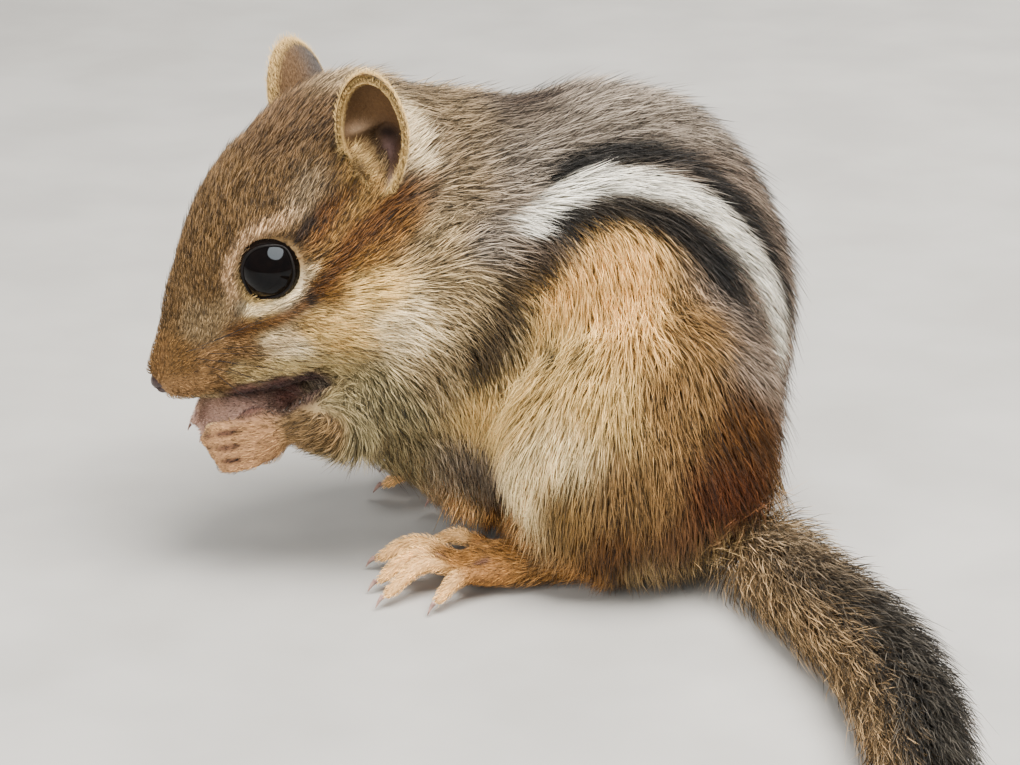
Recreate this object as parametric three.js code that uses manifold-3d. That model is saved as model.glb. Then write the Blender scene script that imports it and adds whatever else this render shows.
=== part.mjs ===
// A life-size eastern chipmunk, sitting on its haunches with both hands held to its mouth.
// Millimetres. It faces -X, its left side is -Y, the floor is z = 0,
// and the origin is on the floor under its seat.
import * as THREE from "three";
import { mergeVertices } from "three/addons/utils/BufferGeometryUtils.js";
import Module from "manifold-3d";

const wasm = await Module();
wasm.setup();

// Driving sizes of the whole animal.
const gap = 0.3; // between neighbouring pieces
const slabReach = 200; // a cutting slab is wider than the animal
const trunkSides = 22;
const trunkRings = 19;

// Colours of the coat and the bare parts.
const coat = {
  tawny: 0xb58a55,
  russet: 0x9c5a2c,
  grizzled: 0x8c8273,
  bareSkin: 0xb08a80,
  eyeBlack: 0x0b0908,
};

const vec = (p) => new THREE.Vector3(...p);
const mirrored = ([x, y, z]) => [x, -y, z];

// Solids: three.js makes the shapes, manifold-3d joins and cuts them.

function welded(geometry) {
  const bare = geometry.clone();
  bare.deleteAttribute("normal");
  bare.deleteAttribute("uv");
  return mergeVertices(bare, 1e-4);
}

function solidFrom(geometry) {
  const closed = welded(geometry);
  const build = (triVerts) =>
    new wasm.Manifold(
      new wasm.Mesh({ numProp: 3, vertProperties: closed.attributes.position.array, triVerts }),
    );
  const faces = new Uint32Array(closed.index.array);
  const made = build(faces);
  return made.volume() > 0 ? made : build(faces.reverse());
}

function geometryOf(solid) {
  const mesh = solid.getMesh();
  const geometry = new THREE.BufferGeometry();
  geometry.setAttribute("position", new THREE.BufferAttribute(mesh.vertProperties, 3));
  geometry.setIndex(new THREE.BufferAttribute(mesh.triVerts, 1));
  return geometry;
}

// The same solid with its surface moved out along the vertex normals.
function fattened(solid, by = gap * 1.2) {
  const geometry = geometryOf(solid);
  geometry.computeVertexNormals();
  const { position, normal } = geometry.attributes;
  const point = new THREE.Vector3();
  const out = new THREE.Vector3();
  for (let i = 0; i < position.count; i++) {
    point.fromBufferAttribute(position, i);
    point.addScaledVector(out.fromBufferAttribute(normal, i), by);
    position.setXYZ(i, point.x, point.y, point.z);
  }
  return solidFrom(geometry);
}

const joined = (solids) => solids.reduce((all, next) => all.add(next));
const without = (solid, ...cutters) => cutters.reduce((rest, cutter) => rest.subtract(cutter), solid);
const clearOf = (solid, ...neighbours) => without(solid, ...neighbours.map((n) => fattened(n)));

function largest(solid) {
  return solid.decompose().sort((a, b) => b.volume() - a.volume())[0];
}

const boxAt = (size, centre) =>
  solidFrom(new THREE.BoxGeometry(...size).translate(...centre));
const underFloor = boxAt([2 * slabReach, 2 * slabReach, slabReach], [0, 0, -slabReach / 2]);
const onFloor = (solid) => solid.subtract(underFloor);

function moved(solid, matrix) {
  return solidFrom(geometryOf(solid).applyMatrix4(matrix));
}

// A sphere whose latitudes are carried along a line of sections. Each section has a centre,
// an up half-axis and a side half-axis. A small blunt gives capsule ends, and 1 gives an egg.
function sweep(sections, { sides = 20, rings = 14, blunt = 0.5, pinch = 0 } = {}) {
  const line = (key) => new THREE.CatmullRomCurve3(sections.map((s) => s[key]));
  const [centre, up, side] = [line("centre"), line("up"), line("side")];
  const shape = welded(new THREE.SphereGeometry(1, sides, rings));
  const { position } = shape.attributes;
  const unit = new THREE.Vector3();
  for (let i = 0; i < position.count; i++) {
    unit.fromBufferAttribute(position, i);
    const along = (1 - THREE.MathUtils.clamp(unit.y, -1, 1)) / 2;
    const radius = Math.hypot(unit.x, unit.z);
    const fullness = radius ** blunt;
    const height = (fullness * unit.z) / (radius || 1);
    const width = ((fullness * unit.x) / (radius || 1)) * (1 - pinch * height);
    const point = centre.getPoint(along);
    point.addScaledVector(up.getPoint(along), height);
    point.addScaledVector(side.getPoint(along), width);
    position.setXYZ(i, point.x, point.y, point.z);
  }
  return solidFrom(shape);
}

// Sections of a form that is alike on both sides of y = 0: [top x, top z, bottom x, bottom z, half width].
function midlineSections(rows) {
  return rows.map(([topX, topZ, bottomX, bottomZ, halfWidth]) => ({
    centre: vec([(topX + bottomX) / 2, 0, (topZ + bottomZ) / 2]),
    up: vec([(topX - bottomX) / 2, 0, (topZ - bottomZ) / 2]),
    side: vec([0, halfWidth, 0]),
  }));
}

// Sections of a limb: rows of [x, y, z, half height, half width], square to the line of centres.
function limbSections(rows, upright = [0, 0, 1]) {
  const centres = rows.map((row) => vec(row));
  return rows.map(([, , , tall, wide], i) => {
    const ahead = centres[Math.min(i + 1, rows.length - 1)];
    const behind = centres[Math.max(i - 1, 0)];
    const along = ahead.clone().sub(behind).normalize();
    const side = vec(upright).cross(along).normalize();
    return {
      centre: centres[i],
      up: along.clone().cross(side).multiplyScalar(tall),
      side: side.multiplyScalar(wide),
    };
  });
}

// Moves the skin near a point, for cheeks, brows and pads.
function swollen(solid, bumps) {
  const geometry = geometryOf(solid);
  const { position } = geometry.attributes;
  const point = new THREE.Vector3();
  for (let i = 0; i < position.count; i++) {
    point.fromBufferAttribute(position, i);
    const start = point.clone();
    for (const { at, reach, push } of bumps) {
      const near = Math.exp(-start.distanceToSquared(vec(at)) / reach ** 2);
      point.addScaledVector(vec(push), near);
    }
    position.setXYZ(i, point.x, point.y, point.z);
  }
  return solidFrom(geometry);
}

// Head, in its own frame: the nose tip is the origin and the nose points to -X.
// Rows: [distance behind the nose tip, top, bottom, half width].
const headPlace = [-61, -12.8, 25.8];
const headTurn = { yaw: 21, pitch: -32, roll: -4 };
const skullRows = [
  [-0.3, 2.5, -4.9, 3.5],
  [3.4, 4.6, -7.0, 5.0],
  [8, 8.4, -9.4, 7.2],
  [14, 12.6, -12.0, 10.6],
  [20, 15.8, -14.2, 13.0],
  [27, 18.0, -15.8, 14.6],
  [34, 19.0, -15.8, 15.2],
  [41, 19.0, -14.5, 14.8],
  [48, 14, -9, 10],
];
const eyeRadius = 4.1;
const eyeCentre = [19.05, -8.5, 5.2];
const eyeAxis = [-0.36, -1, 0.24];
const lidThickness = 0.6;
const lidReach = 0.86; // radius of the ring of the lids, as a share of the eyeball's
const lidRise = 0.5; // how far it stands before the middle of the eyeball, likewise
const cheekBumps = [
  { at: [27, -12.5, -8], reach: 9, push: [0, -2.4, -0.8] },
  { at: [4.5, -4, -3.6], reach: 3.2, push: [0, -0.4, -0.2] },
  { at: [18, -8.5, 12], reach: 5, push: [0, -0.6, 0.4] },
];
// The line of the mouth, seen from the side.
const lipLine = [
  [-2, -4.3],
  [3, -5.0],
  [8, -6.2],
  [13, -7.7],
  [17.5, -8.6],
];
const lipGroove = { width: 0.55, depth: 0.9, reach: 60 }; // it reaches across the whole head
const nosePad = { at: [0.7, 0, -1.0], radii: [1.5, 1.9, 1.6] };
const nostril = { at: [-0.4, -1.1, -1.3], radii: [0.9, 0.5, 0.4] };

const bothSides = (bumps) => [
  ...bumps,
  ...bumps.map(({ at, reach, push }) => ({ at: mirrored(at), reach, push: mirrored(push) })),
];

function ellipsoid({ at, radii }, sides = 14, rings = 10) {
  const shape = new THREE.SphereGeometry(1, sides, rings).rotateX(Math.PI / 2);
  return solidFrom(shape.scale(...radii).translate(...at));
}

function eyeball(mirror) {
  const centre = mirror ? mirrored(eyeCentre) : eyeCentre;
  return ellipsoid({ at: centre, radii: [eyeRadius, eyeRadius, eyeRadius] }, 16, 10);
}

function eyelids(mirror) {
  const axis = vec(mirror ? mirrored(eyeAxis) : eyeAxis).normalize();
  const ring = new THREE.TorusGeometry(eyeRadius * lidReach, lidThickness, 6, 20);
  ring.lookAt(axis);
  const centre = vec(mirror ? mirrored(eyeCentre) : eyeCentre);
  centre.addScaledVector(axis, eyeRadius * lidRise);
  return solidFrom(ring.translate(centre.x, centre.y, centre.z));
}

// A curved sheet through both lips, kept only in the outer skin of the head.
function mouthGroove(head) {
  const half = lipGroove.width / 2;
  const upper = lipLine.map(([x, z]) => new THREE.Vector2(x, z + half));
  const lower = lipLine.map(([x, z]) => new THREE.Vector2(x, z - half)).reverse();
  const sheet = new THREE.ExtrudeGeometry(new THREE.Shape([...upper, ...lower]), {
    depth: lipGroove.reach,
    bevelEnabled: false,
  });
  sheet.translate(0, 0, -lipGroove.reach / 2).rotateX(Math.PI / 2);
  return solidFrom(sheet).subtract(fattened(head, -lipGroove.depth));
}

// An ear cup: a squashed sphere with its front half pressed back into the rear one.
const ear = {
  centre: { left: [37.0, -13.6, 12.3], right: [35.2, 14.1, 12.2] },
  rise: { left: [0.42, -0.1, 0.9], right: [0.42, 0.1, 0.9] }, // from notch to tip
  facing: { left: [-0.5, -0.86, 0.1], right: [-0.34, 0.94, 0.1] }, // out of the cup
  halfHeight: 7.9,
  halfWidth: 4.5,
  depth: 4.0,
  wall: 0.9,
  narrowing: 0.2, // how much narrower the cup is at the notch
};

function earCup(which) {
  const rise = vec(ear.rise[which]).normalize();
  const facing = vec(ear.facing[which]);
  facing.addScaledVector(rise, -facing.dot(rise)).normalize();
  const across = rise.clone().cross(facing);
  const shape = welded(new THREE.SphereGeometry(1, 18, 10));
  const { position } = shape.attributes;
  const unit = new THREE.Vector3();
  for (let i = 0; i < position.count; i++) {
    unit.fromBufferAttribute(position, i); // y is the way that the cup faces
    const inner = unit.y > 0;
    const rim = Math.hypot(unit.x, unit.z);
    const shrink = inner ? 1 - (ear.wall / ear.halfWidth) * Math.min(1, unit.y * 4) : 1;
    const high = unit.z * shrink * ear.halfHeight;
    const narrow = 1 - ear.narrowing * Math.max(0, -unit.z);
    const wide = unit.x * shrink * ear.halfWidth * narrow;
    const bowl = -Math.sqrt(Math.max(0, 1 - rim ** 2)) * ear.depth;
    const deep = inner ? bowl * (1 - ear.wall / ear.depth) : bowl;
    const point = vec(ear.centre[which]);
    point.addScaledVector(rise, high).addScaledVector(across, wide).addScaledVector(facing, deep);
    position.setXYZ(i, point.x, point.y, point.z);
  }
  return solidFrom(shape);
}

const headMatrix = new THREE.Matrix4().compose(
  vec(headPlace),
  new THREE.Quaternion().setFromEuler(
    new THREE.Euler(
      ...[headTurn.roll, headTurn.pitch, headTurn.yaw].map(THREE.MathUtils.degToRad),
      "ZYX",
    ),
  ),
  new THREE.Vector3(1, 1, 1),
);

const skullSections = midlineSections(
  skullRows.map(([x, top, bottom, half]) => [x, top, x, bottom, half]),
);
const skull = swollen(
  sweep(skullSections, { sides: 26, rings: 24, blunt: 0.38, pinch: 0.1 }),
  bothSides(cheekBumps),
);
const eyes = { left: eyeball(false), right: eyeball(true) };
const nosePadWhole = ellipsoid(nosePad, 12, 8);
const nose = without(
  nosePadWhole,
  ellipsoid(nostril, 6, 5),
  ellipsoid({ ...nostril, at: mirrored(nostril.at) }, 6, 5),
);
const lidded = joined([skull, eyelids(false), eyelids(true)]);
const head = largest(
  without(clearOf(lidded, eyes.left, eyes.right, nosePadWhole), mouthGroove(skull)),
);
const ears = {
  left: largest(clearOf(earCup("left"), lidded)),
  right: largest(clearOf(earCup("right"), lidded)),
};
const headInBody = moved(skull, headMatrix);

// Limbs of the left side, with the right side mirrored unless it is given.
// Rows: [x, y, z, half height, half width].
const thighRows = [
  [5, -10, 41, 7, 5],
  [3, -14, 33, 14, 9.5],
  [-1, -16, 24, 18, 11],
  [-3, -17, 15, 17.5, 11],
  [-4.5, -17, 7, 14, 9.5],
  [-5, -16, 1.5, 10, 7],
];
const footRows = [
  [1, -15.5, 4.2, 4, 3.6],
  [-6, -16, 3.8, 3.9, 3.7],
  [-14, -16.6, 3.3, 3.3, 4.0],
  [-21, -17, 2.6, 2.7, 4.8],
  [-25, -17, 2.0, 2.0, 4.4],
];
// Toes, from the inner to the outer one: root, knuckle, tip.
const toeRows = [
  [[-18, -14, 2.6], [-23.5, -9.8, 3.6], [-27.5, -7.2, 1.6]],
  [[-22.5, -14.8, 2.4], [-29, -12.8, 4.0], [-34.2, -12.4, 1.4]],
  [[-23, -16.6, 2.4], [-29, -17.4, 4.2], [-33.8, -19.4, 1.3]],
  [[-22.5, -18.6, 2.4], [-28, -20.4, 4.2], [-32.8, -24.2, 1.3]],
  [[-18, -19.8, 2.4], [-23.2, -22.6, 3.6], [-26.6, -26.0, 1.2]],
];
const toeRadius = 1.45;
const toeClaw = 1.3;
const fingerClaw = 0.8;

const upperArmRows = [
  [-25, -11, 34, 7.5, 5],
  [-30, -13, 26, 7.8, 5],
  [-34.5, -13.8, 21.6, 5.8, 4.6],
];
const forearmRows = {
  left: [
    [-33, -15, 20.0, 5.2, 4.3],
    [-39, -15.2, 20.7, 4.6, 3.7],
    [-44.5, -14.8, 20.3, 3.2, 2.6],
  ],
  right: [
    [-34, 9, 19.4, 4.8, 4.2],
    [-39.5, 3.5, 20.2, 4.2, 3.4],
    [-45, -2.6, 20.2, 3.1, 2.4],
  ],
};
const palmRows = {
  left: [
    [-44, -14.8, 20.2, 3.0, 2.3],
    [-47.5, -14.6, 18.9, 3.9, 2.0],
    [-51, -14.2, 18.4, 3.6, 1.5],
  ],
  right: [
    [-44.8, -2.6, 20.0, 3.0, 2.2],
    [-48.2, -5.0, 19.4, 3.6, 2.0],
    [-51.4, -7.0, 18.8, 3.5, 1.7],
  ],
};
const fingers = {
  left: { root: [-47.6, -15.7, 21.2], knuckle: [-53.4, -16, 20.4], tip: [-55.4, -12.8, 19.2] },
  right: { root: [-50.2, -6.6, 21.2], knuckle: [-55.2, -6.8, 21], tip: [-57, -9.4, 19.8] },
};
const fingerCount = 4;
const fingerStep = 1.9;
const fingerStagger = 1.3; // how much farther back each finger ends than its longer neighbour
const longestFinger = 0.8; // between the first and the second from above
const fingerRadius = 1.2;

function digit(points, radius, claw) {
  const rows = points.map((p, i) => [...p, radius * (1 - 0.1 * i), radius * (1 - 0.1 * i)]);
  const flesh = sweep(limbSections(rows), { sides: 6, rings: 6, blunt: 0.45 });
  const [knuckle, tip] = points.slice(-2).map(vec);
  const onward = tip.clone().sub(knuckle).normalize();
  const start = tip.clone().addScaledVector(onward, -radius * 0.9).add(vec([0, 0, 0.25]));
  const end = start.clone().addScaledVector(onward, claw + radius * 0.9);
  end.z = Math.max(0.45, end.z - 0.25 * claw);
  const middle = start.clone().lerp(end, 0.6).add(vec([0, 0, 0.25]));
  const nail = [start, middle, end].map((p, i) => [...p.toArray(), 0.62 - 0.2 * i, 0.5 - 0.15 * i]);
  return flesh.add(sweep(limbSections(nail), { sides: 4, rings: 4, blunt: 0.5 }));
}

const flipRows = (rows) => rows.map(([x, y, ...rest]) => [x, -y, ...rest]);
const footOf = (mirror) => {
  const flip = mirror ? flipRows : (rows) => rows;
  const sole = sweep(limbSections(flip(footRows)), { sides: 12, rings: 10 });
  const toes = toeRows.map((points) => digit(flip(points), toeRadius, toeClaw));
  return onFloor(joined([sole, ...toes]));
};
const handOf = (side) => {
  const palm = sweep(limbSections(palmRows[side]), { sides: 10, rings: 6 });
  const { root, knuckle, tip } = fingers[side];
  const digits = Array.from({ length: fingerCount }, (_, i) => {
    const shorter = fingerStagger * Math.abs(i - longestFinger);
    const lowered = [root, knuckle, tip].map(([x, y, z], joint) => [
      x + (shorter * joint) / 2,
      y,
      z - fingerStep * i * (1 - 0.08 * joint),
    ]);
    return digit(lowered, fingerRadius, fingerClaw);
  });
  return clearOf(joined([palm, ...digits]), headInBody);
};

const thighs = [thighRows, flipRows(thighRows)].map((rows) =>
  sweep(limbSections(rows, [1, 0, 0]), { sides: 18, rings: 12, blunt: 0.6 }),
);
const feet = { left: footOf(false), right: footOf(true) };
const upperArms = [upperArmRows, flipRows(upperArmRows)].map((rows) =>
  sweep(limbSections(rows, [1, 0, 0]), { sides: 12, rings: 7 }),
);
const forearms = ["left", "right"].map((side) =>
  sweep(limbSections(forearmRows[side]), { sides: 12, rings: 7 }),
);
const hands = ["left", "right"].map(handOf);

// Trunk, from the neck to the root of the tail: [top x, top z, bottom x, bottom z, half width].
const trunkRows = [
  [-37, 56, -50, 34, 11],
  [-32, 61.5, -47, 22, 15],
  [-25, 60, -42.5, 14.8, 17.5],
  [-17, 58.3, -37.5, 11, 18.5],
  [-8, 59.3, -31, 7.6, 19],
  [3, 57.2, -22.5, 3.4, 19.5],
  [11.5, 50, -12, -3, 19.5],
  [17.5, 38, -4, -5, 18.5],
  [18, 26, 2, -6, 16],
  [14, 13, 6, -6, 12],
  [10, 4, 7, -5, 6],
];
const trunkCuts = [0.26, 0.46, 0.67];
const trunkSections = midlineSections(trunkRows);
const trunkWhole = sweep(trunkSections, { sides: trunkSides, rings: trunkRings, blunt: 0.3 });

function slabAt(sections, along) {
  const at = (key) => new THREE.CatmullRomCurve3(sections.map((s) => s[key])).getPoint(along);
  const [centre, up, side] = [at("centre"), at("up").normalize(), at("side").normalize()];
  const across = side.clone().cross(up);
  const matrix = new THREE.Matrix4().makeBasis(across, side, up).setPosition(centre);
  const slab = new THREE.BoxGeometry(gap, slabReach, slabReach);
  return solidFrom(slab.applyMatrix4(matrix));
}

// The pieces that cutters leave of a form, in order.
function cutUp(solid, cutters, order) {
  return without(solid, ...cutters)
    .decompose()
    .sort((a, b) => b.volume() - a.volume())
    .slice(0, cutters.length + 1)
    .sort((a, b) => order(a) - order(b));
}

// Tail: [x, y, z, half height, half width] of the core, laid on the floor towards the left.
const tailRows = [
  [7, -3, 6.6, 3.0, 3.2],
  [10.5, -11, 5.4, 2.9, 3.0],
  [14.5, -21, 4.9, 2.7, 2.9],
  [19, -33, 4.9, 2.7, 3.0],
  [23, -45, 5.0, 2.8, 3.1],
  [25.5, -58, 5.1, 2.8, 3.1],
  [26.4, -71, 5.1, 2.7, 3.0],
  [26.2, -83, 4.8, 2.3, 2.6],
  [25.4, -92, 4.4, 1.5, 1.7],
];
const tailLength = 97;
const tailCuts = [0.345, 0.655];

// The tail's long hair: rows of flat locks, rooted in the core and lying back towards the tip.
const brush = {
  rows: 11,
  around: 7,
  start: 0.12,
  end: 0.95,
  rootRadius: 1.5,
  halfWidth: 2.3,
  halfThickness: 0.55,
  flatter: 0.11, // how much less it reaches down than up
};
const brushLength = (along) => 9 + 6 * THREE.MathUtils.smoothstep(along, 0, 0.5);
const brushReach = (along) =>
  5.6 + 1.3 * THREE.MathUtils.smoothstep(along, 0.1, 0.6) - 2.6 * THREE.MathUtils.smoothstep(along, 0.8, 1);

const tailSections = limbSections(tailRows);
const tailLine = new THREE.CatmullRomCurve3(tailSections.map((s) => s.centre));
const tailCore = sweep(tailSections, { sides: 8, rings: 14, blunt: 0.4 });

// The frame of the tail at a share of its length, which may be past its end.
function tailFrame(along) {
  const ahead = tailLine.getTangentAt(Math.min(along, 1));
  const centre = tailLine.getPointAt(Math.min(along, 1));
  centre.addScaledVector(ahead, Math.max(0, along - 1) * tailLength);
  const side = vec([0, 0, 1]).cross(ahead).normalize();
  return { centre, up: ahead.clone().cross(side), side, ahead };
}

// How far out the hair is from the middle of the tail at a share of its own length.
const hairRadius = (root, share) =>
  brush.rootRadius + (brushReach(root) - brush.rootRadius) * Math.sin((Math.min(share, 1) * Math.PI) / 2);

// A seeded random draw from -1 to 1.
function drawFrom(seed) {
  let state = seed;
  return () => {
    state = (state * 16807) % 2147483647;
    return (state / 2147483647) * 2 - 1;
  };
}

function lockAt(root, turn, draw) {
  const length = brushLength(root) * (1 + 0.12 * draw());
  const bend = 0.12 * draw();
  const outward = vec([0, 0, 0]);
  const rows = [0, 0.3, 0.65, 1].map((share, i) => {
    const { centre, up, side } = tailFrame(root + (share * length) / tailLength);
    const angle = turn + bend * share;
    const radius = hairRadius(root, share) * (1 + 0.06 * draw() * share);
    const height = radius * (brush.flatter + (1 - brush.flatter) * Math.cos(angle));
    const point = centre.addScaledVector(up, height).addScaledVector(side, radius * Math.sin(angle));
    point.z = Math.max(point.z, 0.15);
    outward.addScaledVector(up, Math.cos(angle)).addScaledVector(side, Math.sin(angle));
    const thickness = [0.8, 1, 0.9, 0.25][i] * brush.halfThickness;
    return [...point.toArray(), thickness, [0.3, 0.75, 1, 0.12][i] * brush.halfWidth];
  });
  return sweep(limbSections(rows, outward.toArray()), { sides: 4, rings: 4, blunt: 0.5 });
}

function tailBrush() {
  const draw = drawFrom(11);
  const locks = [];
  for (let row = 0; row < brush.rows; row++) {
    const root = THREE.MathUtils.lerp(brush.start, brush.end, row / (brush.rows - 1));
    for (let i = 0; i < brush.around; i++) {
      const turn = ((i + (row % 2) / 2) / brush.around) * 2 * Math.PI + 0.08 * draw();
      locks.push(lockAt(root, turn, draw));
    }
  }
  return joined(locks);
}

// A funnel that opens along the lie of the hair, so that a cut along it passes between the locks.
function funnel(root, inset) {
  const reach = 1.3; // past the tips of the hair
  const sections = Array.from({ length: 7 }, (_, i) => {
    const share = (i / 6) * reach;
    const { centre, up, side } = tailFrame(root + (share * brushLength(root)) / tailLength);
    const flared = hairRadius(root, share) * (share > 1 ? 1.5 : 1) - brush.rootRadius * (1 - i / 6);
    const radius = Math.max(0.01, flared - inset);
    return {
      centre: centre.addScaledVector(up, radius * brush.flatter),
      up: up.multiplyScalar(radius * (1 - brush.flatter)),
      side: side.multiplyScalar(radius),
    };
  });
  return sweep(sections, { sides: 12, rings: 8, blunt: 0.25 });
}
const funnelWall = (root) => funnel(root, 0).subtract(funnel(root + (3 * gap) / tailLength, 1.3 * gap));

const tail = onFloor(
  joined([clearOf(tailCore, ...thighs), clearOf(tailBrush(), trunkWhole, ...thighs)]),
);
const tailPieces = cutUp(tail, tailCuts.map(funnelWall), (piece) => -piece.boundingBox().max[1]);

// Trunk, cut clear of all that grows from it.
const trunk = onFloor(
  clearOf(trunkWhole, headInBody, ...thighs, ...upperArms, ...forearms, tailCore, feet.left, feet.right),
);
const trunkPieces = cutUp(
  trunk,
  trunkCuts.map((along) => slabAt(trunkSections, along)),
  (piece) => piece.boundingBox().min[0],
);

// The scene graph.
const chipmunk = new THREE.Group();
const headGroup = new THREE.Group();
headGroup.applyMatrix4(headMatrix);
chipmunk.add(headGroup);

function place(parent, name, solid, colour, roughness = 0.85) {
  const material = new THREE.MeshStandardMaterial({ color: colour, roughness, metalness: 0 });
  const mesh = new THREE.Mesh(geometryOf(largest(solid)), material);
  mesh.name = name;
  parent.add(mesh);
}

place(headGroup, "head", head, coat.tawny);
place(headGroup, "nose", nose, coat.bareSkin, 0.5);
place(headGroup, "ear_left", ears.left, coat.tawny);
place(headGroup, "ear_right", ears.right, coat.tawny);
place(headGroup, "eye_left", eyes.left, coat.eyeBlack, 0.05);
place(headGroup, "eye_right", eyes.right, coat.eyeBlack, 0.05);

["neck", "chest", "loin", "rump"].forEach((name, i) => {
  place(chipmunk, name, trunkPieces[i], coat.grizzled);
});
["left", "right"].forEach((side, i) => {
  const hand = hands[i];
  const foot = feet[side];
  place(chipmunk, `thigh_${side}`, onFloor(clearOf(thighs[i], foot)), coat.tawny);
  place(chipmunk, `hind_foot_${side}`, foot, coat.russet);
  place(chipmunk, `upper_arm_${side}`, clearOf(upperArms[i], headInBody), coat.tawny);
  place(
    chipmunk,
    `forearm_${side}`,
    clearOf(forearms[i], headInBody, upperArms[i], hand),
    coat.russet,
  );
  place(chipmunk, `hand_${side}`, hand, coat.bareSkin);
});
["tail_base", "tail_middle", "tail_end"].forEach((name, i) => {
  place(chipmunk, name, tailPieces[i], coat.grizzled);
});

export default chipmunk;
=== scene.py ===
# A life-size eastern chipmunk sitting up to eat: one skin, bare parts, and a coat of solid hair.
import math
import bpy
import numpy as np
from mathutils import Euler, Matrix, Vector


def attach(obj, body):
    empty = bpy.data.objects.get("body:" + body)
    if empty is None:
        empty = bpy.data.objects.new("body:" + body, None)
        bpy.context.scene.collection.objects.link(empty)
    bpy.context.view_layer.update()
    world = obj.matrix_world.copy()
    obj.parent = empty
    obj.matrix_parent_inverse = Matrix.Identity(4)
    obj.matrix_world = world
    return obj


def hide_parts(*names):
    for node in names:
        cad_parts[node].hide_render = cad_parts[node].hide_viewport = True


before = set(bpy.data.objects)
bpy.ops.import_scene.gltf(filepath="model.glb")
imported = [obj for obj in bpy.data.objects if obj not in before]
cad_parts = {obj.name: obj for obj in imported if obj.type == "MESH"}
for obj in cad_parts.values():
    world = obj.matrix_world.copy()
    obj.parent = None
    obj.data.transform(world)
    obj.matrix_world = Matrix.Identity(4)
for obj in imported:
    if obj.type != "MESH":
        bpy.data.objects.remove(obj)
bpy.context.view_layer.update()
mm = 0.001  # the shapes below are worked out in millimetres

# Small tools


def smoothStep(low, high, x):
    # eases from 0 at low to 1 at high
    t = np.clip((x - low) / (high - low), 0, 1)
    return t * t * (3 - 2 * t)


def unit(v):
    return v / np.maximum(np.linalg.norm(v, axis=-1, keepdims=True), 1e-9)


def mixed(base, colour, share):
    # each row of base moved towards a colour by its share: base + share (colour - base)
    return base + share[:, None] * (colour - base)


def inSurface(direction, normal):
    # the part of each direction that lies in the surface: direction - normal (direction . normal)
    return direction - normal * np.einsum("ij,ij->i", direction, normal)[:, None]


def splineAt(points, t):
    # a Catmull-Rom curve: the cubic between two points, with slopes from their neighbours
    points = np.asarray(points, float)
    padded = np.vstack([2 * points[0] - points[1], points, 2 * points[-1] - points[-2]])
    place = np.clip(t, 0, 1) * (len(points) - 1)
    i = np.minimum(place.astype(int), len(points) - 2)
    f = (place - i)[..., None]
    a, b, c, d = (padded[i + k] for k in range(4))
    return b + 0.5 * f * (c - a + f * (2 * a - 5 * b + 4 * c - d + f * (3 * (b - c) + d - a)))


def linear(colour):
    # sRGB shares to the linear colours that a shader reads
    c = np.asarray(colour, float)
    return np.where(c <= 0.04045, c / 12.92, ((c + 0.055) / 1.055) ** 2.4)


def meshObject(name, points, faces, material):
    # points in mm; faces is a list of index arrays, each of triangles or of quads
    mesh = bpy.data.meshes.new(name)
    mesh.vertices.add(len(points))
    mesh.vertices.foreach_set("co", (np.asarray(points) * mm).astype(np.float32).ravel())
    faces = [np.asarray(f, np.int32) for f in faces if len(f)]
    corners = np.concatenate([f.ravel() for f in faces])
    sizes = np.concatenate([np.full(len(f), f.shape[1], np.int32) for f in faces])
    mesh.loops.add(len(corners))
    mesh.loops.foreach_set("vertex_index", corners)
    mesh.polygons.add(len(sizes))
    starts = np.concatenate([[0], np.cumsum(sizes)[:-1]])
    mesh.polygons.foreach_set("loop_start", starts.astype(np.int32))
    mesh.polygons.foreach_set("use_smooth", np.ones(len(sizes), bool))
    mesh.update(calc_edges=True)
    piece = bpy.data.objects.new(name, mesh)
    bpy.context.scene.collection.objects.link(piece)
    if material:
        mesh.materials.append(material)
    return piece


def paint(piece, name, values):
    # a colour or a number for every point of a piece
    isColour = values.ndim == 2
    layer = piece.data.attributes.new(name, "FLOAT_COLOR" if isColour else "FLOAT", "POINT")
    if isColour:
        four = np.ones((len(values), 4), np.float32)
        four[:, :3] = values
        layer.data.foreach_set("color", four.ravel())
    else:
        layer.data.foreach_set("value", values.astype(np.float32))


def gridFaces(rows, columns):
    # quads of a tube: rows of points that each close on themselves
    i = np.arange(rows - 1)[:, None] * columns
    j = np.arange(columns)[None, :]
    k = (j + 1) % columns
    return np.stack([i + j, i + k, i + columns + k, i + columns + j], -1).reshape(-1, 4)


def closedTube(rings, first, last):
    # rings (rows, sides, 3) with a pole at each end; gives points, quads and triangles
    rows, sides = rings.shape[:2]
    points = np.vstack([rings.reshape(-1, 3), first, last])
    j = np.arange(sides)
    k = (j + 1) % sides
    lastRow = (rows - 1) * sides
    caps = np.vstack([
        np.stack([np.full(sides, rows * sides), k, j], -1),
        np.stack([np.full(sides, rows * sides + 1), lastRow + j, lastRow + k], -1),
    ])
    return points, gridFaces(rows, sides), caps


def outwards(points, quads, caps):
    # turns the faces over where the closed form has a negative volume
    tris = np.vstack([quads[:, [0, 1, 2]], quads[:, [0, 2, 3]], caps])
    a, b, c = points[tris[:, 0]], points[tris[:, 1]], points[tris[:, 2]]
    if np.einsum("ij,ij->i", a, np.cross(b, c)).sum() < 0:
        return points, quads[:, ::-1], caps[:, ::-1]
    return points, quads, caps


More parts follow.
